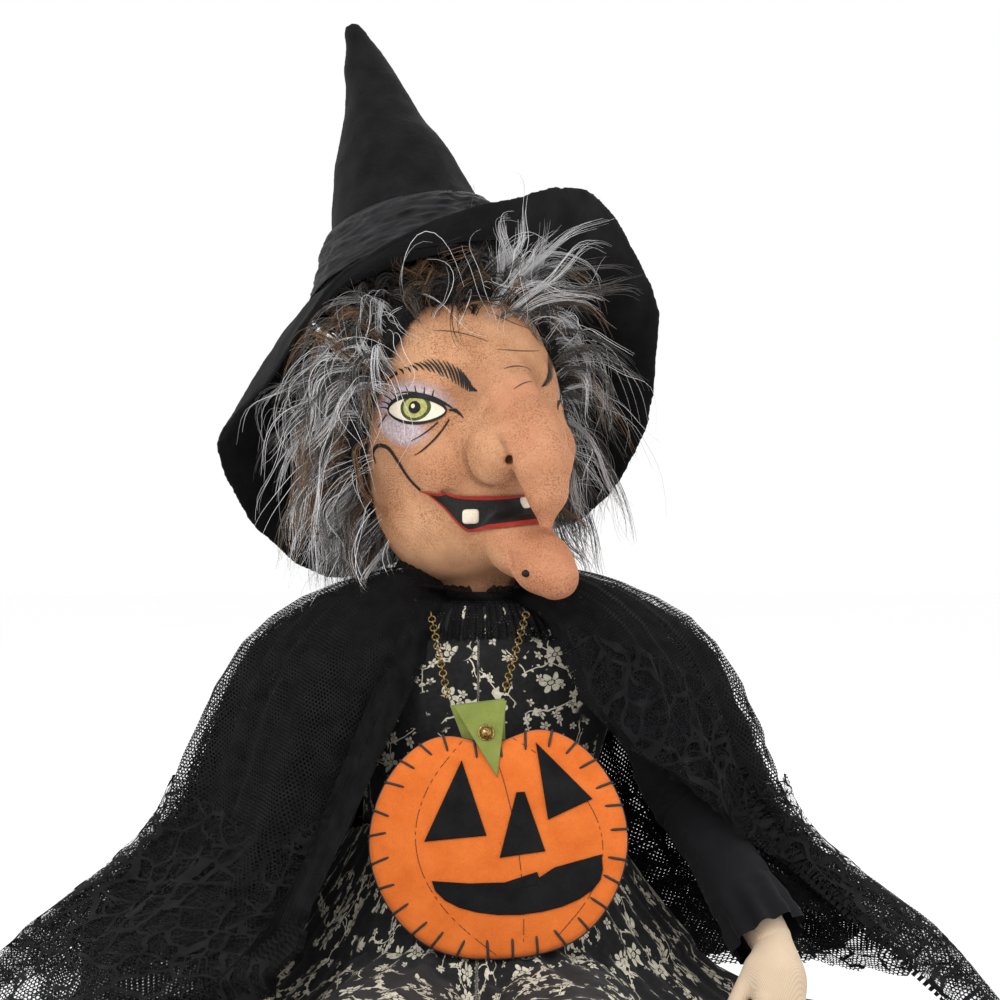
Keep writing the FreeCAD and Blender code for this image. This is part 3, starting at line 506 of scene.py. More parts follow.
def net(name, pitch=0.0026, thread=0.17, web=False, cover=0.0):
    """Hexagonal net: opaque black threads, clear holes."""
    p = Paint(name, 0.85, specular=0.12)
    uv = p.vec("MULTIPLY", p.place("UV"), (1 / pitch, 1 / pitch, 0))
    cell, half = (1.0, 1.7320508, 1.0), (0.5, 0.8660254, 0.0)

    def cell_of(vector):
        return p.vec("SUBTRACT", p.vec("MODULO", p.vec("ADD", vector, (400, 692.8203, 0)), cell), half)

    a = cell_of(uv)
    b = cell_of(p.vec("ADD", uv, half))

    def edge(v):
        ab = p.vec("ABSOLUTE", v)
        slant = p.vec("DOT_PRODUCT", ab, (0.5, 0.8660254, 0))
        level = p.node("ShaderNodeSeparateXYZ", {0: ab}).outputs[0]
        return p.maths("SUBTRACT", 0.5, p.maths("MAXIMUM", slant, level)), p.vec("LENGTH", v)

    ea, la = edge(a)
    eb, lb = edge(b)
    nearer = p.maths("LESS_THAN", la, lb)
    gap = p.maths("ADD", p.maths("MULTIPLY", ea, nearer),
                  p.maths("MULTIPLY", eb, p.maths("SUBTRACT", 1.0, nearer)))
    mask = p.maths("LESS_THAN", gap, thread)
    if web:
        wobble = p.vec("ADD", p.place("UV"), p.vec("MULTIPLY", p.node("ShaderNodeTexNoise", {
            "Vector": p.place("UV"), "Scale": 60.0}).outputs["Color"], (0.012, 0.012, 0)))
        cracks = p.node("ShaderNodeTexVoronoi", {"Vector": wobble, "Scale": 48.0},
                        feature="DISTANCE_TO_EDGE").outputs["Distance"]
        strand = p.maths("LESS_THAN", cracks, 0.045)
        fine = p.node("ShaderNodeTexVoronoi", {"Vector": wobble, "Scale": 130.0},
                      feature="DISTANCE_TO_EDGE").outputs["Distance"]
        strand = p.maths("MAXIMUM", strand, p.maths("LESS_THAN", fine, 0.03))
        mask = p.maths("MAXIMUM", strand, p.maths("MULTIPLY", mask, 0.35))
    p.set("Base Color", p.ramp(p.noise(90, 4), [(0.3, (0.003, 0.003, 0.0035)), (0.7, (0.011, 0.011, 0.012))]))
    p.set("Alpha", p.maths("MAXIMUM", mask, cover) if cover else mask)
    p.bump(p.noise(800, 3), 0.3, 0.0003)
    return p.mat


def floral(name):
    """Cream flowers, leaves and stems printed on black cotton."""
    p = Paint(name, 0.84, 0.06, specular=0.25)
    uv = p.place("UV")
    bend = p.node("ShaderNodeTexNoise", {"Vector": uv, "Scale": 55.0, "Detail": 2.0}).outputs["Color"]
    bent = p.vec("ADD", uv, p.vec("MULTIPLY", p.vec("SUBTRACT", bend, (0.5, 0.5, 0.5)), (0.010, 0.010, 0)))
    print_area = p.ramp(p.noise(30, 2, uv), [(0.44, 0.0), (0.46, 1.0)])

    def flowers(scale, petals, size, vector):
        cell = p.node("ShaderNodeTexVoronoi", {"Vector": vector, "Scale": scale, "Randomness": 0.75},
                      voronoi_dimensions="2D")
        away = p.vec("SUBTRACT", p.vec("MULTIPLY", vector, (scale, scale, 0)),
                     p.vec("MULTIPLY", cell.outputs["Position"], (scale, scale, 0)))
        x = p.node("ShaderNodeSeparateXYZ", {0: away})
        angle = p.maths("ARCTAN2", x.outputs[1], x.outputs[0])
        lobes = p.maths("ABSOLUTE", p.maths("COSINE", p.maths("MULTIPLY", angle, petals / 2)))
        reach = p.maths("MULTIPLY", p.maths("ADD", 0.35, p.maths("MULTIPLY", lobes, 0.65)), size)
        r = cell.outputs["Distance"]
        bloom = p.maths("LESS_THAN", r, reach)
        vein = p.maths("GREATER_THAN", lobes, 0.28)
        heart = p.maths("LESS_THAN", p.maths("ABSOLUTE", p.maths("SUBTRACT", r, size * 0.26)), size * 0.05)
        chance = p.node("ShaderNodeSeparateColor", {0: cell.outputs["Color"]}).outputs[0]
        keep = p.maths("GREATER_THAN", chance, 0.48)
        inked = p.maths("MULTIPLY", p.maths("MULTIPLY", bloom, vein), p.maths("SUBTRACT", 1.0, heart))
        return p.maths("MULTIPLY", inked, keep)

    big = flowers(52.0, 6, 0.37, bent)
    small = flowers(96.0, 5, 0.30, p.vec("ADD", bent, (0.31, 0.17, 0)))
    stems = p.node("ShaderNodeTexVoronoi", {"Vector": bent, "Scale": 34.0}, feature="DISTANCE_TO_EDGE",
                   voronoi_dimensions="2D").outputs["Distance"]
    stem = p.maths("LESS_THAN", stems, 0.012)
    leafy = p.node("ShaderNodeTexNoise", {"Vector": bent, "Scale": 210.0, "Detail": 1.0}).outputs["Fac"]
    leaf = p.maths("MULTIPLY", p.maths("LESS_THAN", stems, 0.085), p.maths("GREATER_THAN", leafy, 0.58))
    ink = p.maths("MAXIMUM", p.maths("MAXIMUM", big, small), p.maths("MAXIMUM", stem, leaf))
    ink = p.maths("MULTIPLY", ink, print_area)
    ground = p.ramp(p.noise(240, 3), [(0.3, (0.006, 0.006, 0.007)), (0.7, (0.016, 0.015, 0.016))])
    cream = p.ramp(p.noise(420, 3), [(0.3, (0.50, 0.46, 0.35)), (0.7, (0.74, 0.70, 0.58))])
    colour = p.mix(ink, ground, cream)
    p.set("Base Color", colour)
    p.bump(p.maths("ADD", p.weave(0.0006), p.noise(300, 3)), 0.3, 0.0003)
    return p.mat


def stripes(name):
    """Black and orange rings along the leg, ribbed."""
    p = Paint(name, 0.88, 0.35, specular=0.25)
    uv = p.node("ShaderNodeSeparateXYZ", {0: p.place("UV")})
    ring = p.maths("SINE", p.maths("MULTIPLY", uv.outputs[1], 2 * math.pi / 0.044))
    band = p.maths("GREATER_THAN", p.maths("ADD", ring, p.maths("MULTIPLY", p.noise(400, 2), 0.12)), 0.06)
    rib = p.maths("SINE", p.maths("MULTIPLY", uv.outputs[0], 2 * math.pi / 0.0018))
    dark = p.ramp(p.noise(300, 3), [(0.3, (0.008, 0.008, 0.009)), (0.7, (0.028, 0.027, 0.028))])
    bright = p.ramp(p.noise(300, 3), [(0.3, (0.66, 0.17, 0.02)), (0.7, (0.86, 0.27, 0.04))])
    p.set("Base Color", p.mix(band, dark, bright))
    p.bump(p.maths("ADD", rib, p.noise(900, 3)), 0.5, 0.0004)
    return p.mat


def hair(name, dark, light, roughness=0.45):
    p = Paint(name, roughness, specular=0.3)
    shade = p.attribute("strand")
    fac = p.maths("ADD", p.maths("MULTIPLY", shade, 0.75), p.maths("MULTIPLY", p.noise(300, 3), 0.25))
    p.set("Base Color", p.ramp(fac, [(0.15, dark), (0.85, light)]))
    p.bump(p.noise(1500, 2), 0.2, 0.0002)
    return p.mat


def hard(name, colour, light, roughness, metallic=0.0, scale=200.0, strength=0.12, grime=None):
    p = Paint(name, roughness, metallic=metallic)
    fac = p.noise(scale, 5)
    col = p.ramp(fac, [(0.3, colour), (0.7, light)])
    if grime:
        col = p.mix(p.ramp(p.noise(scale * 2.5, 4), [(0.45, 0.0), (0.62, 1.0)]), col, grime)
    p.set("Base Color", col)
    p.set("Roughness", p.ramp(p.noise(scale * 1.7, 3), [(0.3, max(0.02, roughness - 0.1)),
                                                        (0.7, min(1.0, roughness + 0.12))]))
    p.bump(p.noise(scale * 6, 3), strength, 0.0002)
    return p.mat


FACE = face_cloth()
MUSLIN = cloth("muslin_weave", (0.56, 0.40, 0.26), (0.76, 0.60, 0.44), 0.0010, coords="Object", strength=0.5)
HAT_FELT = felt("hat_black_felt", (0.0025, 0.0025, 0.003), (0.013, 0.013, 0.014), sheen=0.04, specular=0.1)
ORANGE = felt("purse_orange_felt", (0.60, 0.115, 0.012), (0.80, 0.20, 0.035), sheen=0.15)
BLACK_FELT = felt("purse_black_felt", (0.003, 0.003, 0.003), (0.016, 0.015, 0.015), sheen=0.06, specular=0.1)
GREEN = felt("stem_green_felt", (0.15, 0.19, 0.035), (0.28, 0.32, 0.08), sheen=0.15)
BLACK_COTTON = cloth("sleeve_black_cotton", (0.003, 0.003, 0.0035), (0.012, 0.012, 0.014), 0.0006, 0.8,
                     sheen=0.03, specular=0.12)
FLORAL = floral("floral_print")
STRIPES = stripes("striped_stocking")
NET = net("cape_net")
NET_FAR = net("cape_net_under", 0.0026, 0.2)
WEB = net("cape_web_lace", 0.0022, 0.14, web=True)
LINER = net("cape_gathered", 0.0026, 0.30, cover=0.55)
THREAD = hard("black_thread", (0.008, 0.008, 0.008), (0.03, 0.03, 0.03), 0.6, scale=900, strength=0.4)
BRASS = hard("aged_brass_metal", (0.34, 0.22, 0.07), (0.62, 0.45, 0.17), 0.34, 1.0, 400, 0.2,
             (0.06, 0.035, 0.015))
INK = paint("face_black_paint", (0.006, 0.006, 0.006), (0.018, 0.017, 0.016), 0.5)
WRINKLE = paint("face_brown_line", (0.10, 0.05, 0.03), (0.17, 0.085, 0.05), 0.7)
RED = paint("face_red_paint", (0.27, 0.016, 0.012), (0.38, 0.032, 0.022), 0.55)
CREAM = paint("face_cream_paint", (0.76, 0.66, 0.50), (0.88, 0.79, 0.66), 0.45)
IRIS = paint("face_green_paint", (0.28, 0.27, 0.06), (0.54, 0.52, 0.18), 0.4)
IRIS_RIM = paint("face_dark_green_paint", (0.03, 0.038, 0.010), (0.09, 0.11, 0.03), 0.45)
SHADOW = paint("face_lavender_shadow", (0.46, 0.36, 0.39), (0.76, 0.69, 0.74), 0.4, alpha=0.8)
BOOT = hard("boot_black_leather", (0.010, 0.009, 0.009), (0.032, 0.030, 0.029), 0.42, scale=120,
            strength=0.35)
STEEL = hard("frame_steel", (0.42, 0.43, 0.45), (0.60, 0.61, 0.63), 0.35, 1.0, 160)
ZINC = hard("screw_zinc", (0.52, 0.54, 0.56), (0.70, 0.72, 0.74), 0.3, 1.0, 240)
PLASTIC = hard("base_black_plastic", (0.014, 0.014, 0.015), (0.028, 0.028, 0.030), 0.5, scale=350,
               strength=0.3)
ACETAL = hard("gear_white_plastic", (0.70, 0.69, 0.65), (0.82, 0.81, 0.78), 0.35, scale=120)
CAN = hard("motor_can", (0.26, 0.27, 0.29), (0.40, 0.41, 0.43), 0.32, 0.9, 140)
WRAP = hard("cell_wrapper", (0.02, 0.07, 0.20), (0.05, 0.13, 0.30), 0.3, scale=60)
RUBBER = hard("lead_rubber", (0.012, 0.012, 0.012), (0.03, 0.03, 0.03), 0.7, scale=500)
PLY = hard("head_plywood", (0.45, 0.30, 0.16), (0.62, 0.46, 0.28), 0.6, scale=90, strength=0.3)

CAD_LOOKS = {
    "black_plastic": PLASTIC, "cell_wrap": WRAP, "zinc_screws": ZINC, "steel": STEEL, "white_acetal": ACETAL,
    "motor_case": CAN, "lead_cover": RUBBER, "plywood": PLY, "aged_brass": BRASS,
}
for part in frame["record"]["subparts"]:
    look = CAD_LOOKS.get(part["material_slot"])
    if look:
        mesh = frame["nodes"][part["node"]].data
        mesh.materials.clear()
        mesh.materials.append(look)

# ---------------------------------------------------------------- head
NOSE = ([(0, -46, 38), (0, -70, 18), (0, -92, -4), (0, -105, -24), (0, -106, -42), (0, -101, -60)],
        [13.0, 17.0, 18.5, 16.5, 11.5, 4.6])
CHIN = ([(0, -34, -60), (0, -66, -72), (0, -92, -86), (0, -106, -94)], [24.0, 19.5, 17.0, 14.5])
WINGS = [((side * 17, -74, -12), (15, 22, 22)) for side in (-1, 1)]
NOSTRILS = [((side * 17, -95, -19), (2.2, 4.5, 2.4)) for side in (-1, 1)]


def head_distance(x, y, z):
    d = d_ellipsoid(x, y, z, (0, 0, 5), SKULL)
    d = join(d, d_ellipsoid(x, y, z, (-7, -3, -48), (48, 50, 42)), 16)
    for side in (-1, 1):
        d = join(d, d_ellipsoid(x, y, z, (side * 36, -42, -16), (20, 20, 19)), 14)
        d = carve(d, d_ellipsoid(x, y, z, (side * 36, -66, 20), (19, 13, 11)), 12)
    nose = d_chain(x, y, z, *NOSE, k=8)
    for centre, radii in WINGS:
        nose = join(nose, d_ellipsoid(x, y, z, centre, radii), 4.5 + 9 * smooth((z + 14) / 24))
    d = join(d, nose, 4.5 + 13 * smooth((z + 6) / 30))
    for centre, radii in NOSTRILS:
        d = carve(d, d_ellipsoid(x, y, z, centre, radii), 2)
    d = join(d, d_chain(x, y, z, *CHIN, k=8), 6)
    lips = d_chain(x, y, z, [(-42, -50, -34), (-34, -60, -44), (-10, -70, -50), (10, -70, -50),
                             (34, -60, -44), (42, -50, -34)],
                   [1.5, 3, 4.5, 4.5, 3, 1.5], k=3)
    d = carve(d, lips, 5)
    d = join(d, d_cone(x, y, z, (0, 0, -60), (0, 0, -104), 24, 24), 8)
    for side in (-1, 1):
        fold = d_chain(x, y, z, [(side * 26, -76, -62), (side * 20, -82, -78), (side * 15, -88, -98)],
                       [0.6, 1.4, 0.8])
        d = carve(d, fold, 4)
    ripple = 0.5 * np.sin(x * 0.19 + 1.3) * np.sin(y * 0.16 + 0.4) * np.sin(z * 0.21)
    return d + ripple


def gradient_fit(p, distance, rounds=2, e=0.4):
    for _ in range(rounds):
        d = distance(*p.T)
        g = np.stack([distance(p[:, 0] + e, p[:, 1], p[:, 2]) - d,
                      distance(p[:, 0], p[:, 1] + e, p[:, 2]) - d,
                      distance(p[:, 0], p[:, 1], p[:, 2] + e) - d], axis=1) / e
        p = p - g * (d / np.maximum((g ** 2).sum(1), 0.2))[:, None]
    return p


def sculpt(distance, low, high, step):
    verts, faces = surface_nets(distance, low, high, step)
    return gradient_fit(verts, distance), faces


HEAD_LOCAL, HEAD_FACES = sculpt(head_distance, (-78, -134, -116), (78, 78, 114), 1.5)
NECK_CUT = -102.0
neck = np.hypot(HEAD_LOCAL[:, 0], HEAD_LOCAL[:, 1]) < 40
HEAD_LOCAL[neck, 2] = np.maximum(HEAD_LOCAL[neck, 2], NECK_CUT)
head = piece("head_cloth", head_to_row(HEAD_LOCAL), HEAD_FACES, FACE, "head")
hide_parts("head")


def head_blush_and_painted_shade(p):
    """How red the paint is at each point of the head, and how much painted shade darkens it: in the crease by
    the nose, round the nose wings, in the eye sockets and nostrils, under the jaw and at the sides of the
    head.
    """
    x, y, z = p.T
    nose = d_chain(x, y, z, *NOSE)
    chin = d_chain(x, y, z, *CHIN)
    blush = np.maximum(smooth((6 - nose) / 10) * smooth((-y - 62) / 26),
                       smooth((6 - chin) / 9) * smooth((-y - 58) / 26)) * 0.85
    for side in (-1, 1):
        cheek = np.sqrt((x - side * 42) ** 2 + (y + 46) ** 2 + (z + 20) ** 2)
        blush = np.maximum(blush, 0.38 * smooth(1 - cheek / 36))
    # Painted shade in the crease along the nose.
    crease = np.minimum(np.abs(nose - 1.0), 30)
    shade = (0.32 * smooth(1 - crease / 5.5) * smooth((-y - 46) / 12) * smooth((92 + y) / 16)
             * smooth((26 - z) / 20))
    # Painted shade round each nose wing, between wing and nose, in the eye socket and in the nostril.
    for side in (-1, 1):
        wing = d_ellipsoid(x, y, z, *WINGS[side > 0])
        edge_of_wing = smooth((wing - 0.1) / 1.2) * smooth(1 - (wing - 1.0) / 4.5)
        below = smooth((4 - z) / 18)
        shade = np.maximum(shade, 0.62 * edge_of_wing * smooth((nose - 0.4) / 2.5)
                           * smooth((-y - 52) / 10) * below)
        between = smooth((1.8 - np.abs(wing)) / 1.6) * smooth((2.6 - np.abs(nose)) / 2.2)
        shade = np.maximum(shade, 0.5 * between * smooth((2 - z) / 14))
        socket = d_ellipsoid(x, y, z, (side * 20, -60, 27), (8, 10, 9))
        shade = np.maximum(shade, 0.25 * smooth(1 - socket / 12))
        hole = d_ellipsoid(x, y, z, *NOSTRILS[side > 0])
        shade = np.maximum(shade, 1.15 * smooth(1 - hole / 1.8))
    # Painted shade under the jaw and at the sides of the head.
    shade = np.maximum(shade, 0.30 * smooth((-66 - z) / 24) * smooth((y + 52) / 16))
    shade = np.maximum(shade, 0.3 * smooth((np.abs(x) - 52) / 14))
    return blush, shade


# The shade attribute carries the painted shade to the face's paint.
for label, values in zip(("blush", "shade"), head_blush_and_painted_shade(HEAD_LOCAL)):
    head.data.attributes.new(label, "FLOAT", "POINT").data.foreach_set("value", values.astype(np.float32))

LOCAL_TREE = BVHTree.FromPolygons([Vector(v) for v in HEAD_LOCAL],
                                  [tuple(f) for f in HEAD_FACES.tolist()])


def on_face(u, height):
    """The skin at u mm round the head from the face's midline, at a height, with its normal."""
    a = math.radians(u / SKIN_MM_PER_DEGREE)
    way = Vector((-math.sin(a), -math.cos(a), 0))
    start = Vector((0, 0, height))
    hit, normal, _, _ = LOCAL_TREE.ray_cast(start, way, 200)
    if hit is None:
        hit, normal, _, _ = LOCAL_TREE.find_nearest(start + way * SKULL[0])
    if normal.dot(way) < 0:
        normal = -normal
    return hit, normal


def around(*points):
    """Points given as degrees round the head and height, turned to mm along the skin."""
    return [(azimuth * SKIN_MM_PER_DEGREE, height) for azimuth, height in points]


class Layer:
    """Painted shapes of one colour, laid on the head."""

    def __init__(self, name, mat, lift):
        self.name, self.mat, self.lift = name, mat, lift
        self.verts, self.faces, self.uv = [], [], []

    def put(self, points, lift, side):
        laid = []
        for u, height in points:
            skin, normal = on_face(u if side > 0 else -u - FAR_SIDE_SHIFT, height)
            laid.append(skin + normal * lift)
        return laid

    def fill(self, outline, both=False, rings=6, lift=0.0, count=44):
        edge = through(outline, count, closed=True)
        centre = edge.mean(axis=0)
        for side in ((1, -1) if both else (1,)):
            start = len(self.verts)
            for r in range(rings + 1):
                share = max(r / rings, 0.02)
                self.verts += self.put(centre + (edge - centre) * share, self.lift + lift, side)
                self.uv += [(share, 0.0)] * len(edge)
            self.faces += grid_faces(rings + 1, len(edge), True, start)

    def stroke(self, points, widths, both=False, count=18, lift=0.0):
        line = through(points, count)
        width = np.interp(np.linspace(0, 1, count), np.linspace(0, 1, len(widths)), widths)
        along = np.gradient(line, axis=0)
        across = np.stack([-along[:, 1], along[:, 0]], axis=1)
        across /= np.linalg.norm(across, axis=1)[:, None] + 1e-9
        for side in ((1, -1) if both else (1,)):
            start = len(self.verts)
            for k in (-0.5, 0.0, 0.5):
                rise = self.lift + lift + (0.12 if k == 0 else 0)
                self.verts += self.put(line + across * (width * k)[:, None], rise, side)
                self.uv += [(abs(k) * 2, 0.0)] * count
            self.faces += grid_faces(3, count, False, start)

    def done(self):
        row = head_to_row(np.array([tuple(v) for v in self.verts]))
        return piece(self.name, row, self.faces, self.mat, "head", self.uv)


def almond(centre, half_width, above, below, tilt=0.0, point=0.8):
    """An eye shape: two arcs that meet at its corners."""
    outline = []
    for k in range(16):
        t = 2 * math.pi * k / 16
        u = half_width * math.cos(t)
        reach = above if math.sin(t) > 0 else -below
        outline.append((centre[0] + u, centre[1] + reach * abs(math.sin(t)) ** (1 / point) + tilt * u))
    return outline


def disc(centre, r, squash=1.0):
    turns = np.linspace(0, 2 * math.pi, 12, endpoint=False)
    return [(centre[0] + r * math.cos(t), centre[1] + r * squash * math.sin(t)) for t in turns]


def arch(start, end, rise, count=7):
    """A shallow arc from start to end."""
    a, b = np.array(start, float), np.array(end, float)
    line = []
    for t in np.linspace(0, 1, count):
        line.append(tuple(a + (b - a) * t + np.array([0, 4 * rise * t * (1 - t)])))
    return line


shadow = Layer("paint_shadow", SHADOW, 0.25)
cream = Layer("paint_cream", CREAM, 0.42)
rim = Layer("paint_iris_rim", IRIS_RIM, 0.55)
iris = Layer("paint_iris", IRIS, 0.66)
ink = Layer("paint_black", INK, 0.50)
red = Layer("paint_red", RED, 0.42)
lines = Layer("paint_wrinkles", WRINKLE, 0.18)

# Eyes: wide almonds round the sides of the head, with pale shadow above and below.
EYE_TILT = 0.12
eye = around((51.5, 18))[0]
shadow.fill(almond((eye[0] + 4, eye[1] + 2), 33, 20, 6, 0.05), both=True)
shadow.fill(almond((eye[0] + 11, eye[1] - 9), 23, 9, 14, 0.28), both=True)
cream.fill(almond(eye, 19.0, 8.8, 7.4, EYE_TILT), both=True)
pupil = around((51, 20))[0]
rim.fill(disc(pupil, 10.2, 0.82), both=True)
iris.fill(disc(pupil, 8.0, 0.82), both=True)
ink.fill(disc(pupil, 4.1, 0.95), both=True, lift=0.5)
cream.fill(disc((pupil[0] + 0.8, pupil[1] + 0.9), 1.4), both=True, lift=0.8)
lid = almond(eye, 19.6, 9.3, 7.9, EYE_TILT)
ink.stroke(lid[:9], [1.2, 2.6, 3.0, 2.6, 1.2], both=True, lift=0.3, count=26)
ink.stroke(lid[8:] + lid[:1], [1.0, 1.8, 2.0, 1.6, 0.8], both=True, lift=0.3, count=26)
ink.stroke(arch(around((64, 30))[0], around((31, 17))[0], 4.5), [0.3, 1.0, 1.4, 2.4, 1.0], both=True)
ink.stroke(around((33, 16), (29, 15), (25, 10)), [1.0, 2.6, 0.5], both=True)
for k in range(9):
    t = math.pi * (0.03 + 0.085 * k)
    root = (eye[0] + 19 * math.cos(t), eye[1] + 9.3 * math.sin(t) + EYE_TILT * 19 * math.cos(t))
    tip = (root[0] + 6.5 * math.cos(t) + 2.0, root[1] + 6.0 * math.sin(t) + 1.0)
    ink.stroke([root, ((root[0] + tip[0]) / 2, (root[1] + tip[1]) / 2 + 0.5), tip], [1.1, 0.8, 0.3],
               both=True, count=6)
ink.stroke(around((70, 18), (74, 14), (78, 10)), [1.2, 0.9, 0.3], both=True)

# Brows: hooked strokes between an upper and a lower line.
BROW_STROKES, BROW_LEAN = 22, 4.5
tops = through(around((62, 44), (50, 47.5), (40, 49), (30, 47), (22, 41), (18, 33), (18, 27)), BROW_STROKES)
lows = through(around((66, 41), (50, 42.5), (39, 38), (32, 33), (26, 28), (22, 26), (18, 26)), BROW_STROKES)
ink.stroke(around((80, 32), (72, 38), (62, 43)), [0.5, 1.5, 1.2], both=True)
for at, (top, low) in enumerate(zip(tops, lows)):
    top = top + random.uniform(-0.5, 0.5)
    low = low + random.uniform(-0.6, 0.6) + [-BROW_LEAN * (1 - (at / BROW_STROKES) ** 3), 0]
    top = top + [BROW_LEAN * 0.6, 0]
    ink.stroke([top, (top + low) / 2 + [-0.7, 0.6], low], [0.35, 1.3, 1.4, 0.35], both=True, count=8)

# Bags under the eyes, the curl of the smile and the mouth.
ink.stroke(arch(around((39, 9))[0], around((55, -1))[0], -1.5), [1.1, 0.9, 0.4], both=True)
ink.stroke(arch(around((33, 10))[0], around((52, -10))[0], -3.5), [1.0, 1.3, 1.2, 0.4], both=True)
curl = around((85, -12), (86, -5), (80, -1), (72, -3), (66, -11), (60, -22), (53, -32))
ink.stroke(curl, [0.8, 2.4, 2.6, 2.4, 2.0], both=True, count=30)
CORNER, FAR_CORNER = 52.5, -20.0
LIP_CENTRE, LIP_CORNER, LIP_DROP = -42.0, -32.0, 28.0


def upper_lip(azimuth):
    return LIP_CENTRE + (LIP_CORNER - LIP_CENTRE) * (azimuth / CORNER) ** 2


def lower_lip(azimuth):
    return LIP_CORNER - LIP_DROP * float(smooth((CORNER - abs(azimuth)) / 25))


steps = np.linspace(FAR_CORNER, CORNER, 17)
upper = around(*[(a, upper_lip(a)) for a in steps])
lower = around(*[(a, lower_lip(a)) for a in steps])
ink.fill(upper + lower[-2:0:-1], rings=26, lift=0.9, count=110)
red.stroke(upper, [0.8, 1.6, 2.4, 2.2, 0.8], count=70, lift=1.3)
red.stroke(lower, [0.8, 2.6, 2.6, 1.4, 0.8], count=70, lift=1.3)

# Wrinkles: start and end round the forehead and nose root, and how far each bows.
WRINKLES = [((38, 67), (6, 57), 2.0), ((0, 77), (-36, 63), -1.5), ((2, 51), (-36, 49), -1.0),
            ((3, 38), (-16, 36), 2.0), ((4, 24), (-8, 28), 1.5)]
for start, end, bow in WRINKLES:
    lines.stroke(arch(around(start)[0], around(end)[0], bow), [0.3, 0.8, 0.8, 0.6, 0.3], count=24)
for layer in (shadow, cream, rim, iris, ink, red, lines):
    layer.done()


def tooth(name, azimuth, height, w, h, tilt):
    """A stuffed cream tooth with rounded corners."""
    p, n = on_face(azimuth * SKIN_MM_PER_DEGREE, height)
    side = n.cross(Vector((0, 0, 1))).normalized()
    up = side.cross(n).normalized()
    rows, cols = 9, 22
    verts = []
    for i in range(rows):
        lat = math.pi * i / (rows - 1) - math.pi / 2
        for j in range(cols):
            lon = 2 * math.pi * j / cols
            u = math.copysign(abs(math.cos(lon)) ** 0.45, math.cos(lon)) * w / 2 * math.cos(lat) ** 0.5
            v = math.copysign(abs(math.sin(lon)) ** 0.45, math.sin(lon)) * h / 2 * math.cos(lat) ** 0.5
            u, v = u * math.cos(tilt) - v * math.sin(tilt), u * math.sin(tilt) + v * math.cos(tilt)
            verts.append(p + side * u + up * v + n * (1.1 + 1.7 * math.sin(lat)))
    row = head_to_row(np.array([tuple(v) for v in verts]))
    return piece(name, row, grid_faces(rows, cols, True), CREAM, "head")


tooth("tooth_big", 27, -51.5, 10.7, 9.6, 0.08)
tooth("tooth_small", -6, -47, 6.4, 8.6, -0.1)


def bump_on(name, centre, r, mat):
    """A small round painted lump."""
    rows, cols = 9, 16
    verts = []
    for i in range(rows):
        lat = math.pi * i / (rows - 1) - math.pi / 2
        for j in range(cols):
            lon = 2 * math.pi * j / cols
            verts.append([centre[0] + r * math.cos(lat) * math.cos(lon),
                          centre[1] + r * math.cos(lat) * math.sin(lon),
                          centre[2] + r * math.sin(lat) * 0.8])
    return piece(name, head_to_row(verts), grid_faces(rows, cols, True), mat, "head")


MOLE_NEAR, MOLE_R = Vector((-17, -100, -90)), 2.9
bump_on("chin_mole", LOCAL_TREE.find_nearest(MOLE_NEAR)[0], MOLE_R, INK)

# ---------------------------------------------------------------- hat
def felted(name, node, mat, voxel=1.7, dents=1.4):
    """A CAD node's shape in soft felt: remeshed, smoothed and dented."""
    source = frame["nodes"][node].data.copy()
    obj = bpy.data.objects.new(name, source)
    bpy.context.scene.collection.objects.link(obj)
    obj.data.materials.clear()
    obj.data.materials.append(mat)
    remesh = obj.modifiers.new("remesh", "REMESH")
    remesh.mode = "VOXEL"
    remesh.voxel_size = voxel * MM * 1.0
    relax = obj.modifiers.new("relax", "SMOOTH")
    relax.iterations = 10
    bake(obj)
    mesh = obj.data
    count = len(mesh.vertices)
    co, normal = np.zeros(count * 3, np.float32), np.zeros(count * 3, np.float32)
    mesh.vertices.foreach_get("co", co)
    mesh.vertex_normals.foreach_get("vector", normal)
    co, normal = co.reshape(-1, 3), normal.reshape(-1, 3)
    shift = np.stack([field(co, 20.0, k) + 0.35 * field(co, 62.0, k) for k in (1.0, 7.0, 13.0)],
                     axis=1) * dents
    fuzz = field(co, 420.0, 3.0) * 0.22
    co = co + (shift + normal * fuzz[:, None]) * MM
    mesh.vertices.foreach_set("co", co.astype(np.float32).ravel())
    mesh.polygons.foreach_set("use_smooth", [True] * len(mesh.polygons))
    mesh.update()
    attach(obj, frame["nodes"][node]["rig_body"])
    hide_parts(node)
    return obj


felted("hat_crown_felt", "hat_crown", HAT_FELT, dents=3.2)
felted("hat_brim_felt", "hat_brim", HAT_FELT, dents=3.0)

crown_points, band_points = node_points("hat_crown"), node_points("hat_band")
HAT_TIP = crown_points[crown_points[:, 2].argmax()]
BAND_MIDDLE = (band_points.min(axis=0) + band_points.max(axis=0)) / 2
HAT_LINE = (HAT_TIP - BAND_MIDDLE) / np.linalg.norm(HAT_TIP - BAND_MIDDLE)
BAND_TREE = node_tree("hat_band")
BAND_LOW, BAND_HIGH = np.percentile((band_points - BAND_MIDDLE) @ HAT_LINE, [4, 96])


def crush(t, a):
    """How far the crushed cloth stands off the felt, in mm."""
    folds = abs(perlin(Vector((a * 2.4, t * 8, 3.0)))) * 4.2
    folds += abs(perlin(Vector((a * 5.0 + t * 7, t * 15, 8.0)))) * 2.6
    return folds * smooth(t / 0.12) * smooth((1 - t) / 0.12)


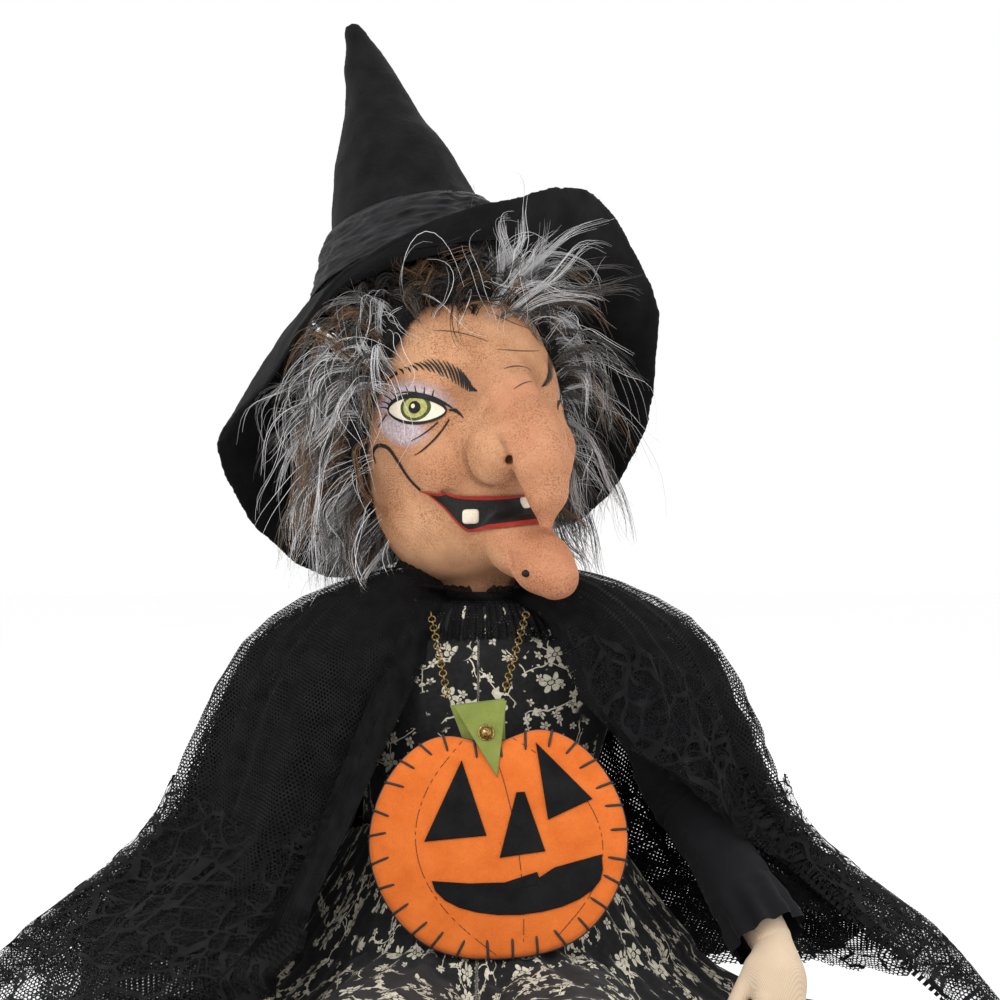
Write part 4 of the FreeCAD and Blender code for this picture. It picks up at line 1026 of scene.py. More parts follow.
def band_grid(rows=46, cols=260):
    side = np.cross([0, 1, 0], HAT_LINE)
    side /= np.linalg.norm(side)
    ahead = np.cross(HAT_LINE, side)
    grid = np.zeros((rows, cols, 3))
    for i in range(rows):
        t = i / (rows - 1)
        centre = BAND_MIDDLE + HAT_LINE * (BAND_LOW + (BAND_HIGH - BAND_LOW) * t)
        for j in range(cols):
            a = 2 * math.pi * j / cols
            out = side * math.sin(a) + ahead * math.cos(a)
            hit = BAND_TREE.ray_cast(Vector(centre + out * 150), Vector(-out), 150)[0]
            if hit is None:
                hit = BAND_TREE.find_nearest(Vector(centre + out * 60))[0]
            grid[i, j] = np.array(hit) + out * (0.3 + crush(t, a))
    return grid


# Crushed band: its lighter streaks are painted sheen of the crushed pile, and the same streaks shape its
# bump.
p = Paint("hat_crushed_band", 0.62, 0.04, specular=0.25)
sheen_streak = p.node("ShaderNodeTexNoise", {"Vector": p.vec("MULTIPLY", p.place("UV"), (40, 160, 0)),
                                       "Scale": 1.0, "Detail": 5.0,
                                       "Distortion": 0.6}).outputs["Fac"]
p.set("Base Color", p.ramp(sheen_streak, [(0.35, (0.004, 0.004, 0.0045)), (0.62, (0.014, 0.014, 0.016)),
                                    (0.82, (0.05, 0.05, 0.055))]))
p.bump(p.maths("ADD", sheen_streak, p.noise(900, 3)), 0.7, 0.0012)
BAND = p.mat
band = grid_piece("hat_band_cloth", band_grid(), BAND, "head", around=True)
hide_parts("hat_band")
BAND_ROUND = float(np.linalg.norm(np.diff(np.array(band_grid(3, 90))[1], axis=0), axis=1).sum()) * MM

SWEATBAND_INSET, SWEATBAND_REACH = 3.5, (-10.0, -4.0, 3.0, 10.0)


def sweatband():
    """The strip inside the hat where the crown meets the brim."""
    ring = band_grid(2, 180)[0]
    centre = ring.mean(axis=0)
    inner = ring - np.array([unit(q - centre) for q in ring]) * SWEATBAND_INSET
    return np.array([inner + HAT_LINE * reach for reach in SWEATBAND_REACH])


sweatband_grid = sweatband()
sweatband_cloth = grid_piece("hat_sweatband_cloth", sweatband_grid, BLACK_COTTON, "head",
                             around=True)
cut_sheet(sweatband_cloth, sweatband_grid, around=True)

# ---------------------------------------------------------------- wig
def scalp_point(azimuth, height):
    """A point on the wig's base, azimuth from the face round through the figure's left, height in mm."""
    z = (height - 5) / SKULL[2]
    level = math.sqrt(max(0.02, 1 - z * z))
    return np.array([math.sin(azimuth) * (SKULL[0] + 2) * level,
                     -math.cos(azimuth) * (SKULL[1] + 2) * level, height])


HAIRLINE_TOP, HAIRLINE_DROP = 83.0, 150.0


def hairline(away):
    """How high the hair starts at an angle round from the face's midline, in mm."""
    return HAIRLINE_TOP - HAIRLINE_DROP * float(smooth((abs(away) - 0.75) / 1.5))


def wig_cap(rows=60, cols=160):
    verts = []
    for i in range(rows):
        t = i / (rows - 1)
        for j in range(cols):
            a = 2 * math.pi * j / cols
            away = abs((a + math.pi) % (2 * math.pi) - math.pi)
            low = hairline(away)
            q = scalp_point(a, low + (97 - low) * t)
            n = q / np.linalg.norm(q)
            v = Vector(q)
            stand = (6.0 * smooth(t * 9) + 0.8
                     + (2.6 * perlin(v * 0.09) + 1.3 * perlin(v * 0.3)) * smooth(t * 6))
            verts.append(q + n * stand)
    return head_to_row(np.array(verts)).reshape(rows, cols, 3)


FUR = hair("wig_dark_fur", (0.004, 0.004, 0.004), (0.028, 0.024, 0.022), 0.8)
GREY = hair("wig_grey_hair", (0.006, 0.0055, 0.005), (0.15, 0.14, 0.132), 0.40)
WHITE = hair("wig_white_hair", (0.38, 0.37, 0.37), (0.86, 0.86, 0.87), 0.36)
BROWN = hair("wig_brown_hair", (0.022, 0.011, 0.006), (0.25, 0.15, 0.085), 0.40)
cap = grid_piece("wig_cap_fur", wig_cap(), FUR, "head", around=True)
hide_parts("wig")


def strand(root, heading, length, steps, gravity, curl, lean=(0, 0, 0), keep=3.0):
    """Points of one hair in head axes, bent by gravity and kept off the head."""
    p, d = np.array(root, float), np.array(heading, float)
    d /= np.linalg.norm(d)
    points, step = [p.copy()], length / steps
    seed = rng.uniform(0, 50)
    for k in range(steps):
        t = k / steps
        v = Vector(p * 0.035) + Vector((seed, 0, 0))
        swirl = np.array([perlin(v), perlin(v + Vector((9, 3, 1))), perlin(v + Vector((2, 7, 5)))])
        d = d + np.array([0, 0, -gravity]) * (0.4 + t) + swirl * curl + np.array(lean) * 0.1
        d /= np.linalg.norm(d)
        p = p + d * step
        q = (p - np.array([0, 0, 5])) / (np.array(SKULL) + keep)
        r = np.linalg.norm(q)
        if r < 1:
            p = np.array([0, 0, 5]) + q / r * (np.array(SKULL) + keep)
        points.append(p.copy())
    return np.array(points)


HAT_TREES = [node_tree("hat_brim"), node_tree("hat_crown")]


def under_hat(points):
    """A hair up to where it would go into the hat."""
    row = [Vector(q) for q in head_to_row(points)]
    for k in range(1, len(row)):
        step = row[k] - row[k - 1]
        for tree in HAT_TREES:
            if tree.ray_cast(row[k - 1], step.normalized(), step.length + 1.5)[0] is not None:
                return points[:k]
    return points


def hair_piece(name, strands, mat, width):
    """One mesh of three-sided hairs that thin to their tips."""
    verts, faces, shades = [], [], []
    for pts in map(under_hat, strands):
        if len(pts) < 4:
            continue
        tone = rng.uniform(0, 1)
        thick = width * rng.uniform(0.7, 1.25)
        along = np.gradient(pts, axis=0)
        along /= np.linalg.norm(along, axis=1)[:, None] + 1e-9
        side = np.cross(along[0], [0.3, 0.2, 1.0])
        start, n = len(verts), len(pts)
        taper = np.interp(np.linspace(0, 1, n), [0, 0.6, 1], [1.0, 0.85, 0.25]) * thick
        for k in range(n):
            side = side - along[k] * np.dot(side, along[k])
            side /= np.linalg.norm(side) + 1e-9
            up = np.cross(along[k], side)
            for c in range(3):
                a = 2 * math.pi * c / 3
                verts.append(pts[k] + (side * math.cos(a) + up * math.sin(a)) * taper[k])
                shades.append(np.clip(tone + 0.25 * k / n, 0, 1))
        faces += grid_faces(n, 3, True, start)
    obj = piece(name, head_to_row(np.array(verts)), faces, mat, "head")
    obj.data.attributes.new("strand", "FLOAT", "POINT").data.foreach_set(
        "value", np.array(shades, np.float32))
    return obj


def roots(count, az0, az1, h0, h1):
    for _ in range(count):
        yield math.radians(rng.uniform(az0, az1)), rng.uniform(h0, h1)


def growth(az, h, out=1.0, up=0.3, around_head=0.0):
    q = scalp_point(az, h)
    n = q / np.array(SKULL)
    n = n / np.linalg.norm(n)
    tangent = np.array([math.cos(az), math.sin(az), 0])
    return q, n * out + np.array([0, 0, up]) + tangent * around_head


def wave(points, size, turns, phase, lean):
    """The same hair with a soft wave that grows towards its tip."""
    n = len(points)
    t = np.linspace(0, 1, n)
    way = points[-1] - points[0]
    way = way / (np.linalg.norm(way) + 1e-9)
    u = np.cross(way, [0.31, 0.17, 0.93])
    u /= np.linalg.norm(u) + 1e-9
    v = np.cross(way, u)
    swing = (np.sin(2 * math.pi * turns * t + phase) - math.sin(phase)) * size * t
    return points + np.outer(swing, u * math.cos(lean) + v * math.sin(lean))


def lock(az, h, length, gravity, curl, out, up, around_head, hairs, spread, swing=5.0):
    """Hairs that leave the wig together, wave together and fray towards their tips."""
    q, d = growth(az, h, out, up, around_head)
    steps = 16
    middle = strand(q, d, length, steps, gravity, curl)
    turns, phase, lean = rng.uniform(0.9, 1.9), rng.uniform(0, 2 * math.pi), rng.uniform(0, 2 * math.pi)
    made = []
    for _ in range(hairs):
        offset = rng.normal(0, 1, 3)
        fray = np.linspace(0.9, 1.3, steps + 1)[:, None] * offset * spread
        cut_at = int(rng.integers(11, steps + 2))
        own = swing * rng.uniform(0.6, 1.2)
        made.append(wave(middle + fray, own, turns * rng.uniform(0.92, 1.08),
                         phase + rng.uniform(-0.5, 0.5), lean)[:cut_at])
    return made


share = 0.62
fur, grey, pale, brown = [], [], [], []
for side in (-1, 1):
    for az, h in roots(int(2300 * share), 22, 140, -60, 92):
        low = hairline(az)
        if h < low - 2:
            h = low + rng.uniform(0, 7)
        q, d = growth(side * az, h, 0.9, 0.0, rng.uniform(-0.6, 0.6))
        fur.append(strand(q, d, rng.uniform(6, 14), 5, 0.15, 0.6, keep=1.0))
    # degrees round from and to, heights from and to, locks, lengths from and to, pull down, out, up, lean
    for az0, az1, h0, h1, count, l0, l1, gravity, out, up, lean in (
        (62, 125, 30, 88, 92, 50, 92, 0.28, 0.8, 0.25, 0.5),
        (84, 140, -20, 50, 100, 55, 105, 0.32, 0.7, 0.0, 0.2),
        (94, 155, -66, 0, 84, 50, 95, 0.30, 0.65, -0.1, 0.0),
        (140, 180, -60, 70, 60, 50, 90, 0.30, 0.7, 0.0, 0.3),
    ):
        for az, h in roots(int(count * share), az0, az1, h0, h1):
            drift = side * lean * rng.uniform(-0.6, 1)
            made = lock(side * az, h, rng.uniform(l0, l1), gravity, 0.36, out, up, drift, 15, 1.5)
            kind = rng.uniform()
            (pale if kind < 0.22 else brown if kind < 0.42 else grey).extend(made)
        for az, h in roots(int(count * share * 0.9), az0, az1, h0, h1):
            drift = side * lean * rng.uniform(-0.8, 1.2)
            pale.extend(lock(side * az, h, rng.uniform(l0, l1 * 1.25), gravity, 0.5, out, up, drift,
                             2, 2.0, 8.0))
for az, h in roots(int(700 * share), -50, 66, 83, 97):
    q, d = growth(az, h, 0.9, 0.4, rng.uniform(-0.8, 0.8))
    fur.append(strand(q, d, rng.uniform(12, 24), 6, 0.2, 0.7, keep=3.0))
for az, h in roots(int(84 * share), -88, 30, 76, 97):
    made = lock(az, h, rng.uniform(34, 66), 0.16, 0.75, 0.9, 0.8, rng.uniform(-1.0, 0.2), 9, 1.5, 6.0)
    (brown if rng.uniform() < 0.7 else fur).extend(made)
for az, h in roots(int(92 * share), 2, 84, 70, 97):
    made = lock(az, h, rng.uniform(50, 98), 0.12, 0.36, 0.9, 0.6, rng.uniform(0.2, 1.4), 15, 1.7)
    (pale if rng.uniform() < 0.42 else grey).extend(made)
for az, h in roots(int(46 * share), -70, 84, 66, 97):
    pale.extend(lock(az, h, rng.uniform(50, 100), 0.18, 0.6, 0.9, 0.45, rng.uniform(-0.8, 1.2), 2, 2.0, 9.0))
hair_piece("wig_fur_edge", fur, FUR, 0.36)
hair_piece("wig_grey_locks", grey, GREY, 0.24)
hair_piece("wig_white_wisps", pale, WHITE, 0.21)
hair_piece("wig_brown_curls", brown, BROWN, 0.24)

# ---------------------------------------------------------------- dress
SKIRT_TREE = node_tree("dress_skirt")


def skirt_line(angle, rows):
    """The skirt's section out from the waist at one azimuth, from the waist to the hem."""
    found = []
    for r in np.arange(50.0, 380.0, 1.5):
        start = Vector((r * math.sin(angle), -r * math.cos(angle), 400))
        hit = SKIRT_TREE.ray_cast(start, Vector((0, 0, -1)), 500)[0]
        if hit is not None:
            found.append(hit)
    return stepped(found, rows)


def skirt_grid(rows, cols):
    grid = np.zeros((rows, cols, 3))
    for j in range(cols):
        a = 2 * math.pi * j / cols
        line = skirt_line(a, rows)
        gather = math.sin(52 * a + 2.2 * perlin(Vector((math.cos(a) * 3, math.sin(a) * 3, 0))))
        for i in range(rows):
            s = i / (rows - 1)
            x, y, z = line[i]
            lumps = 2.6 * perlin(Vector((x, y, 0)) * 0.02) + 1.3 * perlin(Vector((x, y, 5)) * 0.05)
            ridge = gather * 1.7 * smooth(s * 6) * (1 - 0.6 * s)
            grid[i, j] = (x, y, max(1.2, z + ridge + lumps * smooth(s * 4)))
    return grid


skirt_rings = skirt_grid(110, 420)
skirt = grid_piece("skirt_cloth", skirt_rings, FLORAL, ROOT, around=True)
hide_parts("dress_skirt")
cut_sheet(skirt, skirt_rings, around=True)


def upright_grid(node, rows, cols, inset, stand):
    """Rings round an upright node, bottom to top. stand(azimuth, share, point) is added outwards."""
    tree = node_tree(node)
    low, high = (c[2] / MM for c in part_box(node))
    grid = np.zeros((rows, cols, 3))
    for i in range(rows):
        t = i / (rows - 1)
        z = low + inset + (high - low - 2 * inset) * t
        for j in range(cols):
            a = 2 * math.pi * j / cols
            out = np.array([math.sin(a), -math.cos(a), 0])
            hit = tree.ray_cast(Vector(out * 200 + [0, 0, z]), Vector(-out), 200)[0]
            if hit is None:
                hit = tree.find_nearest(Vector(out * 60 + [0, 0, z]))[0]
            grid[i, j] = np.array(hit) + out * stand(a, t, hit)
    return grid


def bodice_folds(a, t, p):
    gathers = smooth((0.22 - t) / 0.2) + smooth((t - 0.8) / 0.15)
    pleats = 1.1 * math.sin(24 * a + 2 * perlin(Vector((a * 2, t * 3, 0)))) * gathers
    return 0.9 + pleats + 1.5 * perlin(p * 0.04) + 0.7 * perlin(p * 0.11)


bodice_grid = upright_grid("dress_bodice", 90, 240, 0.3, bodice_folds)
bodice = grid_piece("bodice_cloth", bodice_grid, FLORAL, ROOT, around=True)
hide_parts("dress_bodice")
cut_sheet(bodice, bodice_grid, around=True)

# ---------------------------------------------------------------- cape
def cape_line(tree, side, angle, rows):
    """The cape's section at one azimuth, from its neck to its edge: outer points of the node."""
    found = []
    for lift in np.radians(np.arange(88.0, -50.0, -0.6)):
        level = math.cos(lift)
        way = Vector((side * math.sin(angle) * level, -math.cos(angle) * level, math.sin(lift)))
        hit = tree.ray_cast(CAPE_HUB + way * 700, -way, 700)[0]
        if hit is not None:
            found.append(hit)
    return stepped(found, rows) if len(found) > 1 else None


def cape_sections(side, rows, cols):
    tree = node_tree(f"cape_{'left' if side > 0 else 'right'}")
    lines = [(a, cape_line(tree, side, a, rows)) for a in np.radians(np.linspace(28.0, 179.8, cols))]
    return [(a, line) for a, line in lines if line is not None]


def cape_layer(sections, side, puff, keep, from_share, seed):
    """One layer of net: the sections with gathers, folds and crumples. keep is how far down it reaches."""
    rows = len(sections[0][1])
    grid = np.zeros((rows, len(sections), 3))
    uv = np.zeros((rows, len(sections), 2))
    for j, (a, line) in enumerate(sections):
        run = np.concatenate([[0], np.cumsum(np.linalg.norm(np.diff(line, axis=0), axis=1))])
        out = np.array([side * math.sin(a), -math.cos(a), 0.25])
        inland = 1 - math.exp(-((a - SHEER_SIDE) / SHEER_SPREAD) ** 2)
        reach = keep + (max(keep, 0.96) - keep) * inland
        drop = HEM_DROP * math.exp(-((a - HEM_AT) / HEM_SPREAD) ** 2) if side < 0 else 0.0
        for i in range(rows):
            t = from_share + (reach - from_share) * i / (rows - 1)
            at = t * (run[-1] + drop)
            q = np.array([np.interp(at, run, line[:, k]) for k in range(3)])
            q[2] -= max(0.0, at - run[-1])
            where = Vector((math.cos(a) * 2.2, math.sin(a) * 2.2, at * 0.006 + seed))
            gather = math.sin(38 * a + 1.5 * perlin(where * 1.7)) * (0.8 + 1.1 * smooth(at / 150))
            fold = math.sin(14 * a + 0.8 + 1.6 * perlin(where * 0.8)) * 4.2 * smooth((at - 40) / 200)
            crumple = 2.4 * perlin(Vector(q) * 0.035 + Vector((seed, 0, 0))) * smooth(at / 80)
            q = q + out * (gather + fold + crumple + puff)
            bunched = smooth((a - math.radians(34)) / 0.5) * (1 - smooth(at / 105))
            q[2] += NECK_BUNCH * bunched
            under = SKIRT_TREE.ray_cast(Vector((q[0], q[1], 400)), Vector((0, 0, -1)), 500)[0]
            q[2] = max(2.5 if under is None else min(under.z + 2.5, line[-1][2] + 2.5), q[2])
            grid[i, j] = q
            uv[i, j] = (a * CAPE_WIDTH_MM * MM, at * MM)
    return grid, uv


# name, cloth, how far out it stands, how far down it reaches and starts, and what it lies on
CAPE_LAYERS = [("outer", NET, 0.5, 1.0, 0.0, "cape_under"),
               ("under", NET_FAR, -4.5, 0.84, 0.01, "cape_lining"),
               ("lining", LINER, -8.0, 0.66, 0.01, "sleeve_cloth"),
               ("web", WEB, 4.5, 1.0, 0.52, "cape_outer")]
SHEER_SIDE, SHEER_SPREAD = math.radians(86), math.radians(20)
HEM_DROP, HEM_AT, HEM_SPREAD = 30.0, math.radians(50), math.radians(24)


def cape(side):
    name = "left" if side > 0 else "right"
    elbow = anchor(f"elbow_{name}")
    wrist = long_axis(f"forearm_{name}", elbow)[1]
    sections = cape_sections(side, *(((110, 210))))
    made = []
    for k, (label, mat, puff, keep, from_share, under) in enumerate(CAPE_LAYERS):
        grid, uv = cape_layer(sections, side, puff, keep, from_share, side * 7 + k * 3)
        obj = grid_piece(f"cape_{label}_{name}", grid, mat, None, uv=uv)
        if label == "outer":
            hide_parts(f"cape_{name}")
        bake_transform(obj)
        made.append((obj, grid, under))
    for obj, grid, under in made:
        cut_sheet(obj, grid)


COLLAR_R, COLLAR_DEEP, COLLAR_BASE = 31.0, 21.0, 305.0


def collar():
    rows, cols = 26, 700
    grid = np.zeros((rows, cols, 3))
    for i in range(rows):
        t = i / (rows - 1)
        for j in range(cols):
            a = math.radians(8 + 344 * j / (cols - 1))
            ripple = math.sin(70 * a + 2.0 * perlin(Vector((a * 3, 0, 0))))
            r = COLLAR_R + COLLAR_DEEP * t + ripple * (1.0 + 2.2 * t)
            behind = smooth((math.pi - abs(a - math.pi) - 0.75) / 0.5)
            rise = (4.0 + 15.0 * behind) * math.sin(t * 2.2)
            z = COLLAR_BASE + rise + ripple * 1.3 * t + 1.2 * perlin(Vector((a * 6, t * 3, 2)))
            grid[i, j] = (r * math.sin(a), -r * math.cos(a), z)
    return grid


ruff_grid = collar()
ruff = grid_piece("cape_collar_ruff", ruff_grid, LINER, ROOT)
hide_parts("cape_collar")
cut_sheet(ruff, ruff_grid)

YOKE_TOP, YOKE_DROP, YOKE_HALF, YOKE_STAND = 303.0, 27.0, math.radians(66), 2.4


def yoke():
    """The gathered net that closes the front of the neck over the bodice."""
    tree = node_tree("dress_bodice")
    rows, cols = 30, 260
    grid = np.zeros((rows, cols, 3))
    for i in range(rows):
        t = i / (rows - 1)
        for j in range(cols):
            a = YOKE_HALF * (2 * j / (cols - 1) - 1)
            ripple = math.sin(66 * a + 2.0 * perlin(Vector((a * 3, 4, 0))))
            ragged = 5.0 * perlin(Vector((a * 7, 0, 2))) * t
            z = YOKE_TOP - (YOKE_DROP + ragged) * t
            out = np.array([math.sin(a), -math.cos(a), 0])
            hit = tree.ray_cast(Vector(out * 200 + [0, 0, min(z, 296.0)]), Vector(-out), 200)[0]
            far = math.hypot(hit[0], hit[1]) if hit is not None else 40.0
            r = 29.0 + (far + YOKE_STAND - 29.0) * smooth(t / 0.22) + ripple * (0.5 + 0.9 * t)
            grid[i, j] = (*(out * r)[:2], z)
    return grid


yoke_grid = yoke()
yoke_net = grid_piece("cape_yoke_net", yoke_grid, LINER, ROOT)
cut_sheet(yoke_net, yoke_grid)
BINDING_R, BINDING_Z, BINDING_DEEP = 29.5, 300.5, 5.0


def binding():
    """The folded cotton strip that binds the neck."""
    rows, cols = 14, 220
    grid = np.zeros((rows, cols, 3))
    for i in range(rows):
        b = 2 * math.pi * i / rows
        for j in range(cols):
            a = 2 * math.pi * j / cols
            pucker = 0.5 * math.sin(58 * a) * max(0.0, math.cos(b))
            r = BINDING_R + 2.4 * math.cos(b) + pucker
            grid[i, j] = (r * math.sin(a), -r * math.cos(a), BINDING_Z + BINDING_DEEP * math.sin(b))
    return grid


binding_rings = np.concatenate([binding(), binding()[:1]])
binding_cloth = grid_piece("neck_binding_cloth", binding_rings, BLACK_COTTON, ROOT,
                           around=True)
cut_sheet(binding_cloth, binding_rings, around=True)

# ---------------------------------------------------------------- stuffed body, arms and hands
def swept(path, radii, rows, cols, dents=0.0, squeeze=None, cap=False):
    """A tube along a smooth path with a radius at each path point."""
    line = through(path, rows)
    width = np.interp(np.linspace(0, 1, rows), np.linspace(0, 1, len(radii)), radii)
    along = np.gradient(line, axis=0)
    along /= np.linalg.norm(along, axis=1)[:, None]
    grid = np.zeros((rows, cols, 3))
    side = np.cross(along[0], [0, 0, 1.0])
    for i in range(rows):
        side = side - along[i] * np.dot(side, along[i])
        side /= np.linalg.norm(side)
        up = np.cross(side, along[i])
        flat = squeeze(i / (rows - 1)) if squeeze else 1.0
        for j in range(cols):
            a = 2 * math.pi * j / cols
            out = side * math.cos(a) + up * math.sin(a) * flat
            q = line[i] + out * width[i]
            v = Vector(q)
            grid[i, j] = q + out * dents * (perlin(v * 0.03) + 0.5 * perlin(v * 0.09))
    if cap:
        ends = []
        for row, way in ((grid[0], -1), (grid[-1], 1)):
            centre = row.mean(axis=0)
            ends.append([centre + (row - centre) * k for k in (0.01, 0.5, 0.8, 0.95)])
        grid = np.concatenate([np.array(ends[0]), grid, np.array(ends[1][::-1])])
    return grid


def torso_dents(a, t, p):
    return -1.0 + 0.6 * perlin(p * 0.05)


rows = list(upright_grid("torso_stuffing", 60, 96, 0.4, torso_dents))
for end, at in ((rows[0], 0), (rows[-1], len(rows) + 1)):
    middle = end.mean(axis=0)
    rows.insert(at, middle + (end - middle) * 0.4)
torso = grid_piece("torso_muslin", np.array(rows), MUSLIN, ROOT, around=True)
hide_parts("torso_stuffing")


def hand_distance(x, y, z, thumb):
    """A mitt in its own axes: fingers down -z, palm facing -y."""
    d = d_ellipsoid(x, y, z, (0, 0, -20), (19, 11.5, 24))
    d = join(d, d_cone(x, y, z, (0, 0, 8), (0, 0, -14), 11.5, 14), 8)
    for k in range(4):
        fx = (k - 1.5) * 8.4
        tip = -58 + 2.6 * abs(k - 1.3) ** 1.5
        d = join(d, d_cone(x, y, z, (fx * 0.9, 0, -34), (fx, -5, tip), 5.8, 5.0), 2.6)
    d = join(d, d_cone(x, y, z, (thumb * 13, -3, -12), (thumb * 25, -10, -34), 6.6, 5.2), 5)
    return d


def arm(name):
    side = 1 if name == "left" else -1
    e = anchor(f"elbow_{name}")
    s = long_axis(f"upper_arm_{name}", e)[1]
    w = long_axis(f"forearm_{name}", e)[1]
    down, out = unit(e - s), unit(w - e)
    upper = grid_piece(f"upper_arm_muslin_{name}",
                       swept([s - down * 16, s + down * 20, e - down * 36, e - down * 14.5],
                             [8, 18.5, 16, 9.5], 24, 36, 1.0, cap=True),
                       MUSLIN, ROOT, around=True)
    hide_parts(f"upper_arm_{name}")
    lower = grid_piece(f"forearm_muslin_{name}",
                       swept([e + out * 14.5, e + out * 32, w - out * 14, w + out * 2],
                             [9.5, 16, 13.5, 11], 24, 36, 1.0, cap=True),
                       MUSLIN, f"forearm_{name}", around=True)
    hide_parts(f"forearm_{name}")
    drop = unit(node_middle(f"hand_{name}") - w)
    wide = unit(np.cross(drop, [side * 0.35, -0.8, 0.45]))
    facing = np.cross(-drop, wide)
    verts, faces = sculpt(lambda x, y, z: hand_distance(x, y, z, side), (-36, -24, -68), (36, 18, 24),
                          1.2)
    basis = np.stack([wide, facing, -drop])
    verts = verts @ basis + w + drop * 4
    hand = piece(f"hand_muslin_{name}", verts, faces, MUSLIN, f"forearm_{name}")
    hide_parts(f"hand_{name}")

    rings, spokes = ((120, 96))
    path = through([s + down * 10, s + down * 60, e + (out - down) * -4, e + out * 40, w - out * 5], rings)
    along = np.gradient(path, axis=0)
    along /= np.linalg.norm(along, axis=1)[:, None]
    grid = np.zeros((rings, spokes, 3))
    u = np.cross(along[0], [0, 0, 1.0])
    for i in range(rings):
        t = i / (rings - 1)
        u = u - along[i] * np.dot(u, along[i])
        u /= np.linalg.norm(u)
        v = np.cross(along[i], u)
        elbow_near = math.exp(-((t - 0.46) / 0.09) ** 2)
        for j in range(spokes):
            a = 2 * math.pi * j / spokes
            d = u * math.cos(a) + v * math.sin(a)
            q = Vector(path[i] + d * 20)
            creases = abs(perlin(Vector((a * 0.8, t * 26, side * 5)))) * (2.0 + 5.0 * elbow_near)
            cuff = 2.4 * math.sin(a * 9 + 1) * smooth((t - 0.86) / 0.14)
            grid[i, j] = path[i] + d * (20.6 + creases + 1.6 * perlin(q * 0.05) + cuff
                                        + 2.2 * smooth((t - 0.8) / 0.2))
    sleeve = grid_piece(f"sleeve_cloth_{name}", grid, BLACK_COTTON, None, around=True)
    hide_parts(f"sleeve_{name}")
    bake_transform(sleeve)
    cut_sheet(sleeve, grid, around=True)


for name in ("left", "right"):
    arm(name)

for side in (-1, 1):
    cape(side)

# ---------------------------------------------------------------- legs
def leg(name):
    side = 1 if name == "left" else -1
    knee = anchor(f"knee_{name}")
    hip = long_axis(f"thigh_{name}", knee)[1]
    ankle = long_axis(f"shin_{name}", knee)[1]
    along, down = unit(knee - hip), unit(ankle - knee)
    path = [hip, hip + along * 70, hip + along * 150, knee - along * 18, knee, knee + down * 18,
            knee + down * 60, ankle - down * 30, ankle]
    radii = [37, 36.5, 34, 24.5, 21.0, 22, 26.5, 21.5, 18.5]

    def flat(t):
        return 1 - 0.55 * math.exp(-((t - 0.5) / 0.035) ** 2)

    tube = swept(path, radii, 150, 72, 1.2, flat, cap=True)
    stocking = grid_piece(f"stocking_{name}", tube, STRIPES, None, around=True)
    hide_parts(f"thigh_{name}", f"knee_cloth_{name}", f"shin_{name}")
    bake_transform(stocking)

    heel = ankle + down * 4

    def boot_distance(x, y, z):
        d = d_cone(x, y, z, tuple(ankle - down * 24), tuple(ankle + down * 4), 25, 23.5)
        foot = d_chain(x, y, z, [tuple(heel), tuple(heel + [0, -5, 26]), tuple(heel + [0, -3, 56]),
                                 tuple(heel + [0, 1, 80]), tuple(heel + [0, 4, 90])],
                       [23.5, 22, 17, 10, 3.6], k=8)
        d = join(d, foot, 10)
        d = np.maximum(d, 0.6 - z)
        open_top = (y - (ankle - down * 30)[1]) - 2
        return np.maximum(d, open_top)

    low, high = ankle + [-34, -44, -30], ankle + [34, 34, 114]
    verts, faces = sculpt(boot_distance, low, high, 1.5)
    boot = piece(f"boot_leather_{name}", verts, faces, BOOT, f"shin_{name}")
    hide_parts(f"boot_{name}")
    boot_tree = BVHTree.FromPolygons([Vector(v) for v in verts], [tuple(f) for f in faces.tolist()])
    lace = []
    for k in range(5):
        z = ankle[2] + 22 + k * 8
        for way in (-1, 1):
            a, b = np.array([ankle[0] - 9 * way, 0, z]), np.array([ankle[0] + 9 * way, 0, z + 7])
            pts = []
            for t in np.linspace(0, 1, 9):
                q = a + (b - a) * t
                ray = boot_tree.ray_cast(Vector((q[0], ankle[1] + 90, q[2])), Vector((0, -1, 0)))
                if ray[0] is not None:
                    pts.append(np.array(ray[0]) + [0, 1.0, 0])
            if len(pts) > 3:
                lace.append((pts, 1.1))
    if lace:
        tubes(f"boot_laces_{name}", lace, THREAD, f"shin_{name}")


def tubes(name, paths, mat, body, sides=6):
    """Threads along point lists with a radius each, as one mesh."""
    verts, faces = [], []
    for pts, radius in paths:
        pts = np.array(pts, float)
        along = np.gradient(pts, axis=0)
        along /= np.linalg.norm(along, axis=1)[:, None] + 1e-9
        u = np.cross(along, [0.31, 0.17, 0.93])
        u /= np.linalg.norm(u, axis=1)[:, None] + 1e-9
        v = np.cross(along, u)
        start, n = len(verts), len(pts)
        for k in range(n):
            r = radius * (0.55 if k in (0, n - 1) else 1.0)
            for c in range(sides):
                a = 2 * math.pi * c / sides
                verts.append(pts[k] + (u[k] * math.cos(a) + v[k] * math.sin(a)) * r)
        faces += grid_faces(n, sides, True, start)
        faces += [tuple(start + c for c in range(sides)),
                  tuple(start + (n - 1) * sides + c for c in reversed(range(sides)))]
    return piece(name, verts, faces, mat, body)


for name in ("left", "right"):
    leg(name)

# ---------------------------------------------------------------- purse
LEAN = Matrix.Rotation(-PURSE_LEAN, 3, "X") @ Matrix.Rotation(-PURSE_ROLL, 3, "Y")
PURSE_LOW, PURSE_HIGH = (np.array(c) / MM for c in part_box("purse_front"))
PURSE_CENTRE = Vector(node_middle("purse_front", "purse_back"))
HALF_WIDTH, HALF_HEIGHT = (PURSE_HIGH[0] - PURSE_LOW[0]) / 2, 73.0
STEM_DIP, STEM_SPREAD = 11.0, 0.28


def purse_to_row(x, y, z):
    return np.array(PURSE_CENTRE + LEAN @ Vector((x, y, z)))


